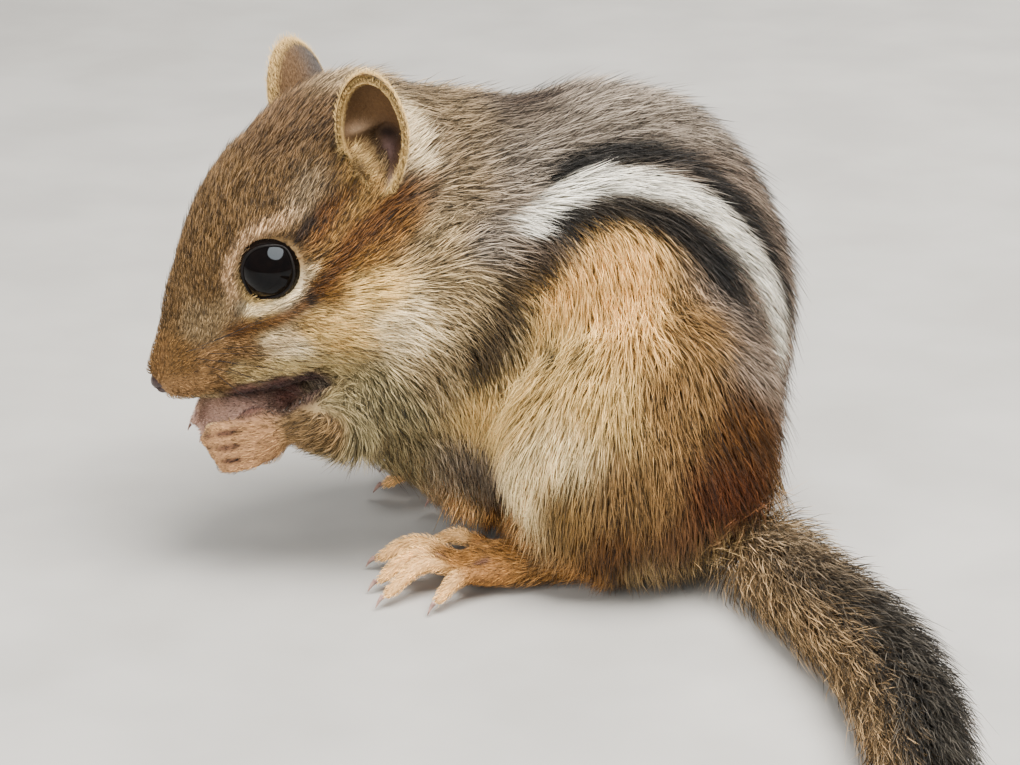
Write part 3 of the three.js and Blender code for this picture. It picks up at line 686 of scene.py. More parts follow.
# The same for the body, left side, in the body's frame.
bodyPlaces = [
    (-25.9, -4.0, 57.5, (1, 0, 0.25), 3.0, 5.4, "nape"),
    (-16.0, -1.0, 57.7, (1, 0, 0.1), 3.2, 5.8, "grizzledDark"),
    (-6.5, -2.0, 58.5, (1, 0, 0), 3.2, 5.8, "grizzled"),
    (5.7, -2.0, 54.8, (0.8, 0, -0.6), 3.2, 5.8, "grizzled"),
    (13.0, -2.0, 46.0, (0.5, 0, -0.85), 3.0, 5.8, "grizzledWarm"),
    (17.5, -2.0, 33.0, (0.1, 0, -1), 3.0, 5.8, "grizzledWarm"),
    # painted shade on the lower rear edge of the rump
    (18.0, -4.0, 20.0, (-0.1, 0, -1), 3.0, 5.8, "russetAndShade"),
    (14.0, -6.0, 9.0, (-0.1, 0, -1), 2.5, 5.4, "tailRoot"),
    (-24.6, -12.4, 48.0, (1, 0, 0), 2.8, 5.0, "nape"),
    (-18.7, -16.6, 44.3, (1, 0, -0.05), 3.0, 5.6, "grizzled"),
    (-13.4, -13.0, 52.0, (1, 0, 0.05), 3.0, 5.8, "grizzled"),
    (-2.0, -8.0, 55.5, (0.98, 0, -0.15), 3.2, 5.8, "grizzled"),
    (8.0, -10.0, 50.0, (0.75, 0, -0.65), 3.0, 5.8, "grizzledWarm"),
    (-22.2, -18.1, 37.3, (0.75, 0, -0.65), 3.0, 5.6, "greyBuff"),
    (-18.7, -18.8, 31.3, (0.4, 0, -0.9), 3.0, 5.8, "greyBuff"),
    (-25.9, -17.8, 27.1, (0.45, 0, -0.9), 3.0, 5.8, "greyBuff"),
    (-19.9, -17.4, 21.8, (0, 0, -1), 3.2, 6.0, "buff"),
    (-30.7, -17.7, 20.6, (0.35, 0, -0.95), 2.4, 5.2, "oliveBuff"),
    (-36.9, -15.4, 23.0, (0.1, 0, -1), 1.8, 4.2, "oliveBuff"),
    # the white belly, darkened as painted shade
    (-23.7, -9.0, 8.1, (-0.15, 0, -1), 3.0, 6.2, "whiteInShade"),
    (-12.0, -3.0, 4.0, (1, 0, -0.2), 2.2, 4.6, "whiteInShade"),
    # painted shade on the underside between the thigh and the foot
    (-17.0, -12.5, 11.0, (0.2, 0, -1), 2.4, 5.0, "belly"),
    (-20.5, -14.5, 14.5, (0.1, 0, -1), 2.8, 5.8, "belly"),
    (-32.3, -7.9, 11.7, (0.3, 0, -1), 2.8, 5.6, "oliveBuff"),
    (-42.0, -2.0, 20.0, (0.3, 0, -1), 2.6, 5.0, "yellowCream"),
    (-13.4, -17.0, 43.8, (0.6, 0, -0.6), 3.0, 5.2, "grizzledWarm"),
    (-11.6, -18.6, 38.7, (-0.3, 0, -0.95), 3.0, 5.4, "golden"),
    (-5.7, -17.6, 40.9, (0.1, 0, -1), 3.0, 5.4, "golden"),
    (-11.6, -21.0, 32.0, (-0.2, 0, -1), 3.0, 5.8, "buff"),
    (-15.0, -21.5, 26.0, (-0.25, 0, -1), 3.0, 6.0, "buff"),
    (-16.3, -22.3, 13.4, (0.05, 0, -1), 3.0, 6.4, "thighCream"),
    (-11.5, -24.6, 12.5, (0.1, 0, -1), 3.0, 6.0, "amber"),
    (-12.0, -24.0, 20.0, (-0.05, 0, -1), 3.0, 6.4, "thighCream"),
    (-4.3, -25.3, 6.9, (0.05, 0, -1), 2.8, 5.6, "rusty"),
    # painted shade on the lower rear edge of the rump
    (2.9, -23.7, 6.2, (0.1, 0, -1), 2.8, 5.4, "russetAndShade"),
    (8.7, -25.0, 14.5, (0.1, 0, -1), 2.8, 5.4, "russetAndShade"),
    (10.9, -23.8, 23.0, (0.15, 0, -1), 2.8, 5.8, "rusty"),
    (13.5, -19.6, 29.0, (0.25, 0, -1), 2.8, 5.8, "grizzledWarm"),
    (-6.9, -25.5, 27.4, (0, 0, -1), 3.0, 6.2, "buff"),
    (2.5, -25.7, 27.4, (0.15, 0, -1), 3.0, 6.2, "tawny"),
    (-2.2, -22.3, 35.0, (0.15, 0, -1), 3.0, 5.8, "golden"),
    (4.9, -21.6, 34.7, (0.3, 0, -0.95), 3.0, 5.8, "tawny"),
    (10.0, -16.0, 36.0, (0.35, 0, -0.95), 3.0, 5.8, "grizzledWarm"),
    (-3.0, -26.0, 15.0, (0, 0, -1), 3.0, 6.2, "tawny"),
    (-33.0, -18.0, 24.0, (0.3, 0, -0.95), 2.4, 5.0, "oliveBuff"),
    (-2.0, -16.0, 7.0, (-1, 0, -0.1), 1.0, 2.6, "foot"),
    (-9.0, -16.0, 7.4, (-1, 0, -0.1), 0.8, 2.4, "foot"),
    (-9.0, -20.0, 3.5, (-1, 0, -0.1), 0.7, 2.2, "foot"),
    (-17.0, -17.0, 6.2, (-1, 0, -0.1), 0.6, 2.0, "foot"),
    (-24.0, -17.0, 4.6, (-1, 0, 0), 0.45, 1.5, "foot"),
    (-13.0, -12.6, 4.0, (-1, 0, -0.1), 0.6, 2.0, "foot"),
    (-20.5, -12.0, 4.2, (-1, 0.3, -0.1), 0.35, 1.2, "foot"),
    (-24.5, -9.4, 4.6, (-1, 0.5, -0.3), 0.3, 1.0, "toe"),
    (-20.0, -21.5, 4.2, (-1, -0.3, -0.1), 0.35, 1.2, "foot"),
    (-30.0, -17.0, 4.4, (-1, 0, -0.3), 0.3, 1.1, "toe"),
    (-28.0, -10.0, 3.6, (-1, 0.5, -0.3), 0.3, 1.0, "toe"),
    (-28.0, -23.0, 3.6, (-1, -0.6, -0.3), 0.3, 1.0, "toe"),
    (-33.0, -20.0, 2.0, (-1, -0.2, -0.5), 0.25, 0.9, "toe"),
    (-33.0, -13.0, 2.0, (-1, 0, -0.5), 0.25, 0.9, "toe"),
]

# Arms, hands and the root of the tail, which differ on the two sides.
armPlaces = [
    (-35.0, -19.0, 20.0, (-0.6, 0, -0.8), 1.8, 4.2, "oliveBuff"),
    (-39.0, -18.9, 20.4, (-0.9, 0, -0.35), 0.9, 2.8, "forearm"),
    (-38.0, -15.0, 16.0, (-0.9, 0, -0.35), 0.9, 2.8, "oliveBuff"),
    (-43.0, -17.4, 20.3, (-0.95, 0, -0.3), 0.5, 1.9, "forearm"),
    (-48.0, -16.8, 18.8, (-0.95, 0, -0.25), 0.2, 1.3, "hand"),
    (-53.0, -17.0, 18.4, (-1, 0, -0.2), 0.12, 0.7, "hand"),
    (-56.5, -13.8, 18.2, (-0.4, 0.9, -0.2), 0.1, 0.4, "hand"),
    (-36.0, 10.0, 18.5, (-0.7, -0.6, -0.2), 1.6, 3.6, "oliveBuff"),
    (-40.0, 4.0, 20.0, (-0.7, -0.7, 0.1), 0.8, 2.4, "rusty"),
    (-45.0, -4.0, 20.6, (-0.7, -0.7, 0.1), 0.3, 1.0, "lipSkin"),
    # painted light on the right hand's fingers, where the head shades them
    (-50.0, -6.0, 19.8, (-0.9, -0.3, 0), 0.2, 0.9, "handPaleAndLit"),
    (-56.0, -8.0, 19.7, (-0.8, -0.5, 0), 0.14, 0.6, "handPaleAndLit"),
    (-1.0, -25.5, 3.0, (0.6, -0.4, -0.6), 2.2, 8.0, "tailRoot"),
    (3.5, -24.5, 3.5, (0.85, -0.6, -0.25), 2.2, 10.0, "tailRoot"),
    (6.5, -22.0, 4.0, (0.85, -0.7, -0.15), 2.2, 11.0, "tailRoot"),
    (9.0, -19.0, 6.0, (0.8, -0.75, -0.15), 2.2, 11.0, "tailRoot"),
    (11.5, -15.0, 9.0, (0.7, -0.75, -0.3), 2.2, 10.0, "tailRoot"),
]

# Stripes and patches: frame, points along the middle, half width, softness, colour, strength
markings = [
    ("body", [(-11.6, -12.9, 51.8), (-6.8, -11.1, 53.5), (-2, -10, 53.7), (2.8, -9.3, 52.2),
              (7.1, -8.8, 49.6), (10.8, -8.4, 45.8), (13.7, -7.3, 41.3), (15.7, -7, 36.4),
              (16.9, -6.6, 31)], 1.45, 0.9, "black", 0.97),
    ("body", [(-14.5, -16.2, 46.4), (-9.8, -14.2, 49.7), (-6.8, -13.5, 50.8),
              (-2.1, -13, 50.4), (2.7, -12.3, 49.1), (7, -11.3, 46.4), (10.1, -11.1, 43.2),
              (12.6, -10.3, 39.1), (14.6, -10.1, 35.2), (15.2, -10.6, 31.6), (15, -11.4, 27.5)],
     1.5, 0.8, "stripe", 1.0),
    ("body", [(-10.6, -16.5, 45.5), (-9.2, -16.2, 46.4), (-6.8, -15.5, 47.4),
              (-3.9, -14.9, 47.5), (-0.3, -14.5, 46.7), (3.3, -14.4, 44.8), (6.4, -14, 42.2),
              (8.8, -14.1, 39.1)], 1.7, 1.0, "black", 0.97),
    ("body", [(8.8, -14.1, 39.1), (10.2, -15, 36.0), (10.6, -17, 33.5)], 1.4, 1.6, "black", 0.8),
    ("body", [(-30, 0, 60), (-16, 0, 58), (-6.5, 0, 58.5), (5.7, 0, 54.8), (12, 0, 48), (16.5, 0, 38)],
     0.7, 1.0, "darkBrown", 0.75),
    # painted shade: a dark band in the crease at the rear edge of the shoulder
    ("body", [(-13.0, -17.5, 42.4), (-15.7, -18.3, 38.9), (-17.6, -18.7, 35.6), (-19.2, -18.7, 31.8),
              (-21.0, -18.5, 28.6)], 1.2, 1.8, "darkBrown", 0.88),
    # the ring over the eye, its pale patch behind, the dark line and the pale stripe
    ("head", [(12.4, -8.4, 3.6), (13.0, -8.6, 5.0), (13.5, -8.1, 6.8), (15.1, -8.1, 8.6),
              (17.1, -8.8, 9.8),
              (19.3, -9.6, 10.4), (21.6, -10.3, 10.1), (23.4, -11.0, 9.6), (25.1, -11.2, 9.9)],
     0.55, 0.6, "ring", 0.9),
    ("head", [(25.6, -11.2, 10.0), (27.4, -10.9, 11.1), (28.6, -10.8, 12.0)], 0.9, 1.6, "nape", 0.6),
    ("head", [(23.0, -12.2, 7.2), (24.4, -12.2, 7.8), (25.9, -12.3, 8.2), (27.4, -12.5, 8.3)],
     0.45, 0.5, "darkBrown", 0.95),
    ("head", [(27.4, -12.5, 8.3), (29.2, -12.7, 8.2), (31.2, -12.9, 8.2)], 0.5, 0.8, "rusty", 0.8),
    ("head", [(12.9, -9.2, 3.5), (14.2, -10.3, 2.3), (15.9, -11.1, 2.1), (18.0, -12.1, 2.3),
              (20.3, -13.0, 3.1), (22.4, -13.4, 3.7)], 0.45, 0.6, "cream", 0.85),
    ("head", [(22.4, -13.4, 3.7), (24.3, -13.6, 4.4), (26.6, -13.7, 5.2), (29.1, -13.6, 6.0),
              (31.5, -13.4, 6.7)], 0.5, 0.9, "amber", 0.6),
    # the rusty line under it with its dark middle, and the pale lip
    ("head", [(10.7, -8.1, 1.4), (12.8, -9.6, 0.7), (15.4, -11.2, 0.1), (17.7, -12.3, 0.0),
              (19.5, -13.1, 0.5),
              (21.4, -13.6, 1.1), (23.9, -14.2, 1.9), (26.5, -14.5, 2.8), (29.1, -14.6, 3.4),
              (31.9, -14.5, 3.8), (34.8, -14.1, 4.2), (37.4, -13.6, 4.3)], 0.75, 0.8, "rusty", 0.95),
    ("head", [(17.5, -12.3, 0.9), (19.9, -13.3, 1.1), (21.7, -13.6, 1.7), (23.9, -14.2, 2.4)],
     0.2, 0.6, "darkBrown", 0.4),
    ("head", [(20.4, -13.6, 0.8), (20.1, -13.6, -0.1)], 0.3, 0.5, "black", 0.8),
    ("head", [(31.9, -14.5, 2.8), (35.4, -14.4, 2.6), (38.8, -13.3, 3.2)], 1.6, 1.4, "rusty", 0.65),
    ("head", [(8.3, -6.4, -4.6), (10.9, -8.3, -3.9), (13.7, -10.4, -2.7), (16.6, -12.0, -2.0),
              (19.7, -13.6, -1.9)], 0.6, 1.2, "tawny", 0.5),
    # grey-buff side of the muzzle in front of the eye, and the dark roots of the whiskers
    ("head", [(12.4, -8.6, 3.9), (10.7, -7.7, 3.4), (8.7, -6.6, 2.6)], 0.8, 1.4, "paleFace", 0.7),
    ("head", [(12.3, -8.5, 2.9), (13.6, -9.0, 3.6)], 0.3, 0.5, "darkBrown", 0.8),
    *[("head", [at, (at[0] + 0.1, at[1], at[2] + 0.1)], 0.16, 0.3, "darkBrown", 0.75)
      for at in [(6.0, -5.8, -0.6), (5.9, -5.8, -2.2), (7.5, -6.6, -1.5), (7.4, -6.4, -3.3),
                 (8.7, -7.2, -2.8), (5.5, -5.4, -3.8), (4.4, -5.0, -1.4)]],
    # painted shade in the slit at the front of the upper lip, pale patches behind the ear
    ("head", [(2.2, -3.6, -4.6), (3.6, -4.4, -4.9)], 0.3, 0.3, "darkBrown", 0.95),
    ("head", [(44.3, -6.2, 10.7), (43.0, -8.8, 9.3)], 1.1, 1.4, "cream", 0.6),
    ("head", [(42.0, -10.6, 7.4), (41.2, -11.7, 5.9)], 0.9, 1.4, "cream", 0.7),
    # painted shade in the slits between the fingers of the left hand
    *[("left", [(-50.2, -17.0, z), (-53.6, -17.1, z - 0.5), (-56.4, -13.6, z - 1.6)],
       0.28, 0.25, "darkBrown", 1.0) for z in (20.1, 18.2, 16.4)],
    # the same painted shade between the toes
    ("body", [(-21.5, -13.2, 4.6), (-25.0, -11.6, 4.6), (-29.0, -9.8, 3.0)], 0.3, 0.5, "mauveAndShade", 0.85),
    ("body", [(-24.0, -15.6, 4.8), (-28.5, -15.2, 4.6), (-33.5, -15.8, 2.0)], 0.35, 0.5, "mauveAndShade", 0.85),
    ("body", [(-24.0, -17.6, 4.8), (-28.5, -18.9, 4.4), (-32.8, -21.8, 2.0)], 0.35, 0.5, "mauveAndShade", 0.85),
    ("body", [(-20.5, -19.6, 4.6), (-24.0, -21.0, 4.2), (-28.5, -24.6, 2.0)], 0.3, 0.5, "mauveAndShade", 0.85),
    # a few dark ticks on the thigh
    ("body", [(-13.4, -20.4, 32.0), (-12.8, -21.4, 30.2)], 0.5, 0.6, "black", 0.7),
    ("body", [(-9.9, -22.2, 32.4), (-9.5, -22.8, 30.9)], 0.5, 0.6, "black", 0.7),
    ("body", [(-5.3, -22.6, 33.2), (-5.0, -23.2, 31.8)], 0.45, 0.6, "black", 0.6),
]


# How far each place's values spread: the largest height of the coat it holds for, square mm
spreads = ((1.2, 2.0), (2.3, 5.0), (math.inf, 14.0))


def placeTable():
    # every place on both sides, in the body's frame
    rows = []
    for x, y, z, lie, depth, length, colour in headPlaces:
        for flip in (np.ones(3), flipY):
            at = headToBody([np.array((x, y, z)) * flip])[0]
            rows.append((at, headTurn @ (np.array(lie) * flip), depth, length, hairColours[colour]))
    for x, y, z, lie, depth, length, colour in bodyPlaces:
        for flip in (np.ones(3), flipY):
            at = np.array((x, y, z)) * flip
            rows.append((at, np.array(lie) * flip, depth, length, hairColours[colour]))
    for x, y, z, lie, depth, length, colour in armPlaces:
        rows.append((np.array((x, y, z)), np.array(lie), depth, length, hairColours[colour]))
    at = np.array([r[0] for r in rows], float)
    values = np.array([(*unit(np.array(r[1], float)), r[2], r[3], *linear(r[4])) for r in rows], float)
    (shortest, near), (middling, farther), (_, farthest) = spreads
    soft = np.where(values[:, 3] < middling, farther, farthest)
    return at, values, np.where(values[:, 3] < shortest, near, soft)


def blended(points):
    # the places' values at any point, weighted by (1 / (distance squared + its softness)) cubed
    at, values, soft = places
    result = np.empty((len(points), values.shape[1]))
    for start in range(0, len(points), 20000):
        part = points[start:start + 20000]
        gapSquared = ((part[:, None, :] - at[None]) ** 2).sum(-1)
        weight = soft / (gapSquared + soft) ** 3
        result[start:start + 20000] = (weight @ values) / weight.sum(1, keepdims=True)
    return result


def lineDistance(points, line):
    # the shortest distance from each point to a line of straight stretches
    best = np.full(len(points), 1e9)
    for a, b in zip(line[:-1], line[1:]):
        run = b - a
        share = np.clip((points - a) @ run / (run @ run), 0, 1)
        best = np.minimum(best, np.linalg.norm(points - a - share[:, None] * run, axis=1))
    return best


def marked(points, colours):
    # lays the stripes and patches over the blended colours, each fading out past its half width
    result = colours
    for space, line, half, soft, colour, strength in markings:
        for flip in ((np.ones(3),) if space == "left" else (np.ones(3), flipY)):
            middle = np.array(line, float) * flip
            if space == "head":
                middle = headToBody(middle)
            gap = lineDistance(points, middle)
            cover = strength * (1 - smoothStep(half - soft * 0.5, half + soft * 1.5, gap))
            result = mixed(result, linear(hairColours[colour]), cover)
    return result


places = placeTable()


# The skin

skinInset = {
    "sink": 1.0,  # share of the coat's height that the skin lies in
    "relax": 10,
    "relaxAfter": 4,
    "socketStart": 3.0,  # from the middle of the eye to the natural skin, mm
    "socketEnd": 6.2,
    "ballShown": 3.5,  # how far from the eye's axis the skin dips to the eyeball, and how far under it
    "ballGap": 0.45,
    "lipDepth": 0.8,
    "lipWidth": 0.5,
    "lipEnd": 24,  # how far back the lips' line presses the skin
    "stiff": 0.08,  # smoothing of bare skin, the coat's height that adds 1 to it, and the most
    "perHeight": 3.5,
    "softest": 0.9,
}
eye = {
    "radius": 4.1,
    "centre": (19.05, -8.5, 5.2),
    "axis": (-0.36, -1, 0.24),
    "opening": 3.08,
    "lid": 0.17,
    "corners": ((205, 0.65), (20, 0.35)),  # degrees round the axis, reach of the lids there
    "cornerWidth": 0.42,  # radians
    "corneaWidth": 2.9,
    "corneaRise": 0.3,
}
lipLine = [(-2, -4.3), (3, -5.0), (8, -6.2), (13, -7.7), (17.5, -8.6)]


def relaxed(points, edges, weight, passes):
    # moves each point towards the mean of its neighbours
    n = len(points)
    count = np.bincount(edges.ravel(), minlength=n)[:, None]
    a, b = edges.T
    for _ in range(passes):
        total = np.stack([
            np.bincount(a, points[b, k], n) + np.bincount(b, points[a, k], n) for k in range(3)
        ], -1)
        points = points + weight[:, None] * (total / count - points)
    return points


def readPoints(mesh):
    flat = np.empty(len(mesh.vertices) * 3, np.float32)
    mesh.vertices.foreach_get("co", flat)
    return flat.reshape(-1, 3).astype(float) / mm


def readNormals(mesh):
    flat = np.empty(len(mesh.vertices) * 3, np.float32)
    mesh.vertices.foreach_get("normal", flat)
    return flat.reshape(-1, 3).astype(float)


def writePoints(mesh, points):
    mesh.vertices.foreach_set("co", (points * mm).astype(np.float32).ravel())
    mesh.update()


tailLine = splineAt([row[:3] for row in body["tail"]], np.linspace(0, 1, 241))
tailSteps = np.concatenate([[0], np.cumsum(np.linalg.norm(np.diff(tailLine, axis=0), axis=1))])
tailShares = tailSteps / tailSteps[-1]


tailJoin = {
    "region": (4, -4, 14),  # least x, most y and most z of the points that may be on the tail
    "from": 0.10,  # shares of the tail's length between which rump turns to tail
    "to": 0.17,
    "reach": 4.4,  # from the tail's middle line, mm
}


def tailPlace(points):
    # share of the tail's length, distance from its middle line and its direction there
    share = np.zeros(len(points))
    gap = np.full(len(points), 99.0)
    ahead = np.zeros((len(points), 3))
    slopes = unit(np.gradient(tailLine, axis=0))
    x, y, z = tailJoin["region"]
    near = np.nonzero((points[:, 0] > x) & (points[:, 1] < y) & (points[:, 2] < z))[0]
    for start in range(0, len(near), 20000):
        part = near[start:start + 20000]
        away = np.linalg.norm(points[part, None, :] - tailLine[None], axis=-1)
        best = away.argmin(1)
        share[part] = tailShares[best]
        gap[part] = away[np.arange(len(part)), best]
        ahead[part] = slopes[best]
    return share, gap, ahead


def onTail(points):
    # 1 on the tail, 0 on the rump
    share, gap, ahead = tailPlace(points)
    return smoothStep(tailJoin["from"], tailJoin["to"], share) * (gap < tailJoin["reach"]), share, ahead


def eyeFrame(flip):
    centre = np.array(eye["centre"]) * flip
    axis = unit(np.array(eye["axis"], float) * flip)
    return centre, axis


def roundEye(local, flip):
    # height along the eye's axis, distance from the axis, and how much farther the lids reach that way
    centre, axis, back, up = eyeRound(flip)
    away = local - centre
    high = away @ axis
    wide = np.linalg.norm(away - high[:, None] * axis, axis=1)
    return high, wide, cornerReach(np.arctan2(away @ up, away @ back))


def pressFace(points):
    # dips the skin to sqrt(radius^2 - wide^2) round each eyeball, and along the line of the lips
    local = bodyToHead(points)
    for flip in (np.ones(3), flipY):
        axis = eyeFrame(flip)[1]
        high, wide, _ = roundEye(local, flip)
        shown = np.minimum(wide, skinInset["ballShown"])
        ball = np.sqrt(eye["radius"] ** 2 - shown**2) - skinInset["ballGap"]
        share = smoothStep(skinInset["socketStart"], skinInset["socketEnd"], wide)
        near = (high > 0) & (wide < skinInset["socketEnd"])
        lowered = np.minimum(high, ball + (high - ball) * share)
        local[near] += ((lowered - high)[:, None] * axis)[near]
    gap = lineDistance(local[:, [0, 2]], np.array(lipLine, float))
    gap[(local[:, 0] > skinInset["lipEnd"]) | (local[:, 2] > 0)] = 99
    pull = skinInset["lipDepth"] * np.exp(-((gap / skinInset["lipWidth"]) ** 2))
    local[:, 1] -= np.sign(local[:, 1]) * pull * smoothStep(0, 1.5, np.abs(local[:, 1]))
    return headToBody(local)


def makeSkin(material):
    points, quads, caps = joinForms(bodyForms())
    rough = meshObject("rough", points, [quads, caps], None)
    remesh = rough.modifiers.new("joined", "REMESH")
    remesh.mode = "VOXEL"
    remesh.voxel_size = body["skinVoxel"] * mm
    graph = bpy.context.evaluated_depsgraph_get()
    mesh = bpy.data.meshes.new_from_object(rough.evaluated_get(graph))
    bpy.data.objects.remove(rough)
    mesh.name = "skin"
    skin = bpy.data.objects.new("skin", mesh)
    bpy.context.scene.collection.objects.link(skin)
    edges = np.empty(len(mesh.edges) * 2, np.int32)
    mesh.edges.foreach_get("vertices", edges)
    edges = edges.reshape(-1, 2)
    points = readPoints(mesh)
    tail = onTail(points)[0]
    depth = blended(points)[:, 3] * (1 - tail)
    stiff = skinInset["stiff"]
    softness = np.clip(stiff + depth / skinInset["perHeight"], stiff, skinInset["softest"])
    points = relaxed(points, edges, softness, skinInset["relax"])
    writePoints(mesh, points)
    points = points - readNormals(mesh) * (depth * skinInset["sink"])[:, None]
    points = relaxed(points, edges, softness, skinInset["relaxAfter"])
    points = pressFace(points)
    points[:, 2] = np.maximum(points[:, 2], 0.0)
    writePoints(mesh, points)
    mesh.polygons.foreach_set("use_smooth", np.ones(len(mesh.polygons), bool))
    mesh.materials.clear()
    mesh.materials.append(material)
    print("skin:", len(mesh.polygons), "faces")
    return skin


def coatColours(points):
    # the markings of body, head and tail at any point
    tail, share, _ = onTail(points)
    return mixed(marked(points, blended(points)[:, 5:8]), tailColours(points, share), tail)


tailHair = {
    "under": (0.65, 0.53, 0.37),
    "over": (0.60, 0.51, 0.39),
    "end": (0.27, 0.25, 0.22),
    "overStart": (-0.3, 0.6),  # how far up and out the grizzled hair starts
    "greyStart": (0.15, 0.45),  # shares of the tail's length
    "lengthAtRoot": 8.5,
    "lengthAdded": 6.0,
    "longFrom": (0.1, 0.4),
    "reach": 4.2,  # how far the hair stands off the core, mm
    "reachAddedAtRoot": 1.4,
    "rootEnd": (0.4, 0.15),
    "reachLostAtTip": 2.4,
    "tipFrom": (0.8, 1.0),
    "fromRump": 1.2,  # how much of the rump's lie the first hairs keep
    "rumpEnd": (0.12, 0.3),
}


def tailColours(points, share):
    # orange on the edge towards the animal's left and below, grizzled above, greyer towards the tip
    middle = np.stack([np.interp(share, tailShares, tailLine[:, k]) for k in range(3)], -1)
    away = unit(points - middle)
    under, over, end = (linear(tailHair[name]) for name in ("under", "over", "end"))
    grizzled = smoothStep(*tailHair["overStart"], away[:, 2] * 0.8 + away[:, 0] * 0.5)
    return mixed(under, mixed(over, end, smoothStep(*tailHair["greyStart"], share)), grizzled)


skinPaint = {
    # painted shade of the skin under the hair
    "underfurShade": 0.82,
    "bare": (0.72, 0.50, 0.40),
    "bareShare": 0.25,
    "bareUnder": (0.2, 0.5),  # heights of the coat between which bare skin fades out, mm
    "lid": (0.10, 0.07, 0.06),
    "lidEdge": (3.3, 3.55),  # distance from the eye's axis, mm
    "lidReach": 1.1,
}


def paintSkin(skin):
    # the underfur is painted darker than the hair over it, as shade deep in the coat; the bare hands,
    # toes and lids are skin
    points = readPoints(skin.data)
    depth = blended(points)[:, 3]
    colours = coatColours(points + readNormals(skin.data) * depth[:, None]) * skinPaint["underfurShade"]
    bare = skinPaint["bareShare"] * (1 - smoothStep(*skinPaint["bareUnder"], depth))
    colours = mixed(colours, linear(skinPaint["bare"]), bare)
    for flip in (np.ones(3), flipY):
        high, wide, reach = roundEye(bodyToHead(points), flip)
        lid = (high > 0) * (1 - smoothStep(*skinPaint["lidEdge"], wide - skinPaint["lidReach"] * reach))
        colours = mixed(colours, linear(skinPaint["lid"]), lid)
    paint(skin, "coatColour", colours)


# Eyes, lids, nose

def eyeForm(flip):
    # a sphere with the clear front raised by a smooth bump round the axis
    centre, axis = eyeFrame(flip)
    side = unit(np.cross(axis, (0, 0, 1)))
    up = np.cross(side, axis)
    angle = np.linspace(0, math.pi, 50)[1:-1]
    turn = np.linspace(0, 2 * math.pi, 64, endpoint=False)
    wide = eye["radius"] * np.sin(angle)
    rise = eye["corneaRise"] * np.exp(-((wide / eye["corneaWidth"]) ** 4)) * (np.cos(angle) > 0)
    high = eye["radius"] * np.cos(angle) + rise
    ring = np.cos(turn)[:, None] * side + np.sin(turn)[:, None] * up
    rows = centre + high[:, None, None] * axis + wide[:, None, None] * ring[None]
    top = centre + (eye["radius"] + eye["corneaRise"]) * axis
    return outwards(*closedTube(rows, top[None], (centre - eye["radius"] * axis)[None]))


def eyeMaterial():
    material, nodes, links = newMaterial("darkEye")
    shader = nodes["Principled BSDF"]
    noise = nodes.new("ShaderNodeTexNoise")
    noise.inputs["Scale"].default_value = 900
    place = nodes.new("ShaderNodeTexCoord")
    links.new(place.outputs["Object"], noise.inputs["Vector"])
    ramp = nodes.new("ShaderNodeValToRGB")
    ramp.color_ramp.elements[0].color = (0.001, 0.001, 0.001, 1)
    ramp.color_ramp.elements[1].color = (0.004, 0.0025, 0.002, 1)
    links.new(noise.outputs["Fac"], ramp.inputs["Fac"])
    links.new(ramp.outputs["Color"], shader.inputs["Base Color"])
    setShader(shader, Roughness=0.06, IOR=1.22, Specular_Tint=(0.78, 0.90, 1.0, 1))
    return material


def cornerReach(turn):
    # how much farther the lids reach towards the two corners: height exp(-(gap / width)^2) round each
    reach = np.zeros_like(turn)
    for degrees, height in eye["corners"]:
        gap = (turn - math.radians(degrees) + math.pi) % (2 * math.pi) - math.pi
        reach = reach + height * np.exp(-((gap / eye["cornerWidth"]) ** 2))
    return reach


def eyeRound(flip):
    # the eye's centre, its axis, and the ways to the back of the head and up in the plane of the lids
    centre, axis = eyeFrame(flip)
    back = unit(np.array((1.0, 0, 0)) - axis * axis[0])
    up = np.cross(axis, back)
    return centre, axis, back, up * np.sign(up[2])


def lidForm(flip):
    # a tube along the edge of the opening, drawn out towards both corners of the eye
    centre, axis, back, up = eyeRound(flip)
    turn = np.linspace(0, 2 * math.pi, 96, endpoint=False)
    reach = cornerReach(turn)
    wide = eye["opening"] + reach
    high = np.sqrt(np.maximum((eye["radius"] + 0.08) ** 2 - wide**2, 0.9))
    out = np.cos(turn)[:, None] * back + np.sin(turn)[:, None] * up
    line = centre + high[:, None] * axis + wide[:, None] * out
    around = np.linspace(0, 2 * math.pi, 14, endpoint=False)
    size = eye["lid"] * (1 - 0.5 * reach)
    rows = (line[:, None, :] + size[:, None, None] * (
        np.cos(around)[None, :, None] * out[:, None, :] + np.sin(around)[None, :, None] * axis
    ))
    n, m = rows.shape[:2]
    i = np.arange(n)[:, None]
    j = np.arange(m)[None, :]
    below, k = ((i + 1) % n) * m, (j + 1) % m
    quads = np.stack([i * m + j, i * m + k, below + k, below + j], -1).reshape(-1, 4)
    return outwards(rows.reshape(-1, 3), quads, np.zeros((0, 3), int))


nose = {
    "at": (0.75, 0, -1.4),
    "radii": (1.35, 1.6, 1.45),
    "nostrils": ((-0.4, -1.0, -1.7), 0.55, 0.7),  # place, reach, depth
    "slit": (1.5, 1.0, 0.55),  # a nostril's shape
    "cleft": 0.35,
    "cleftWidth": 0.22,
    "cleftFrom": (-0.3, -1.3),
}


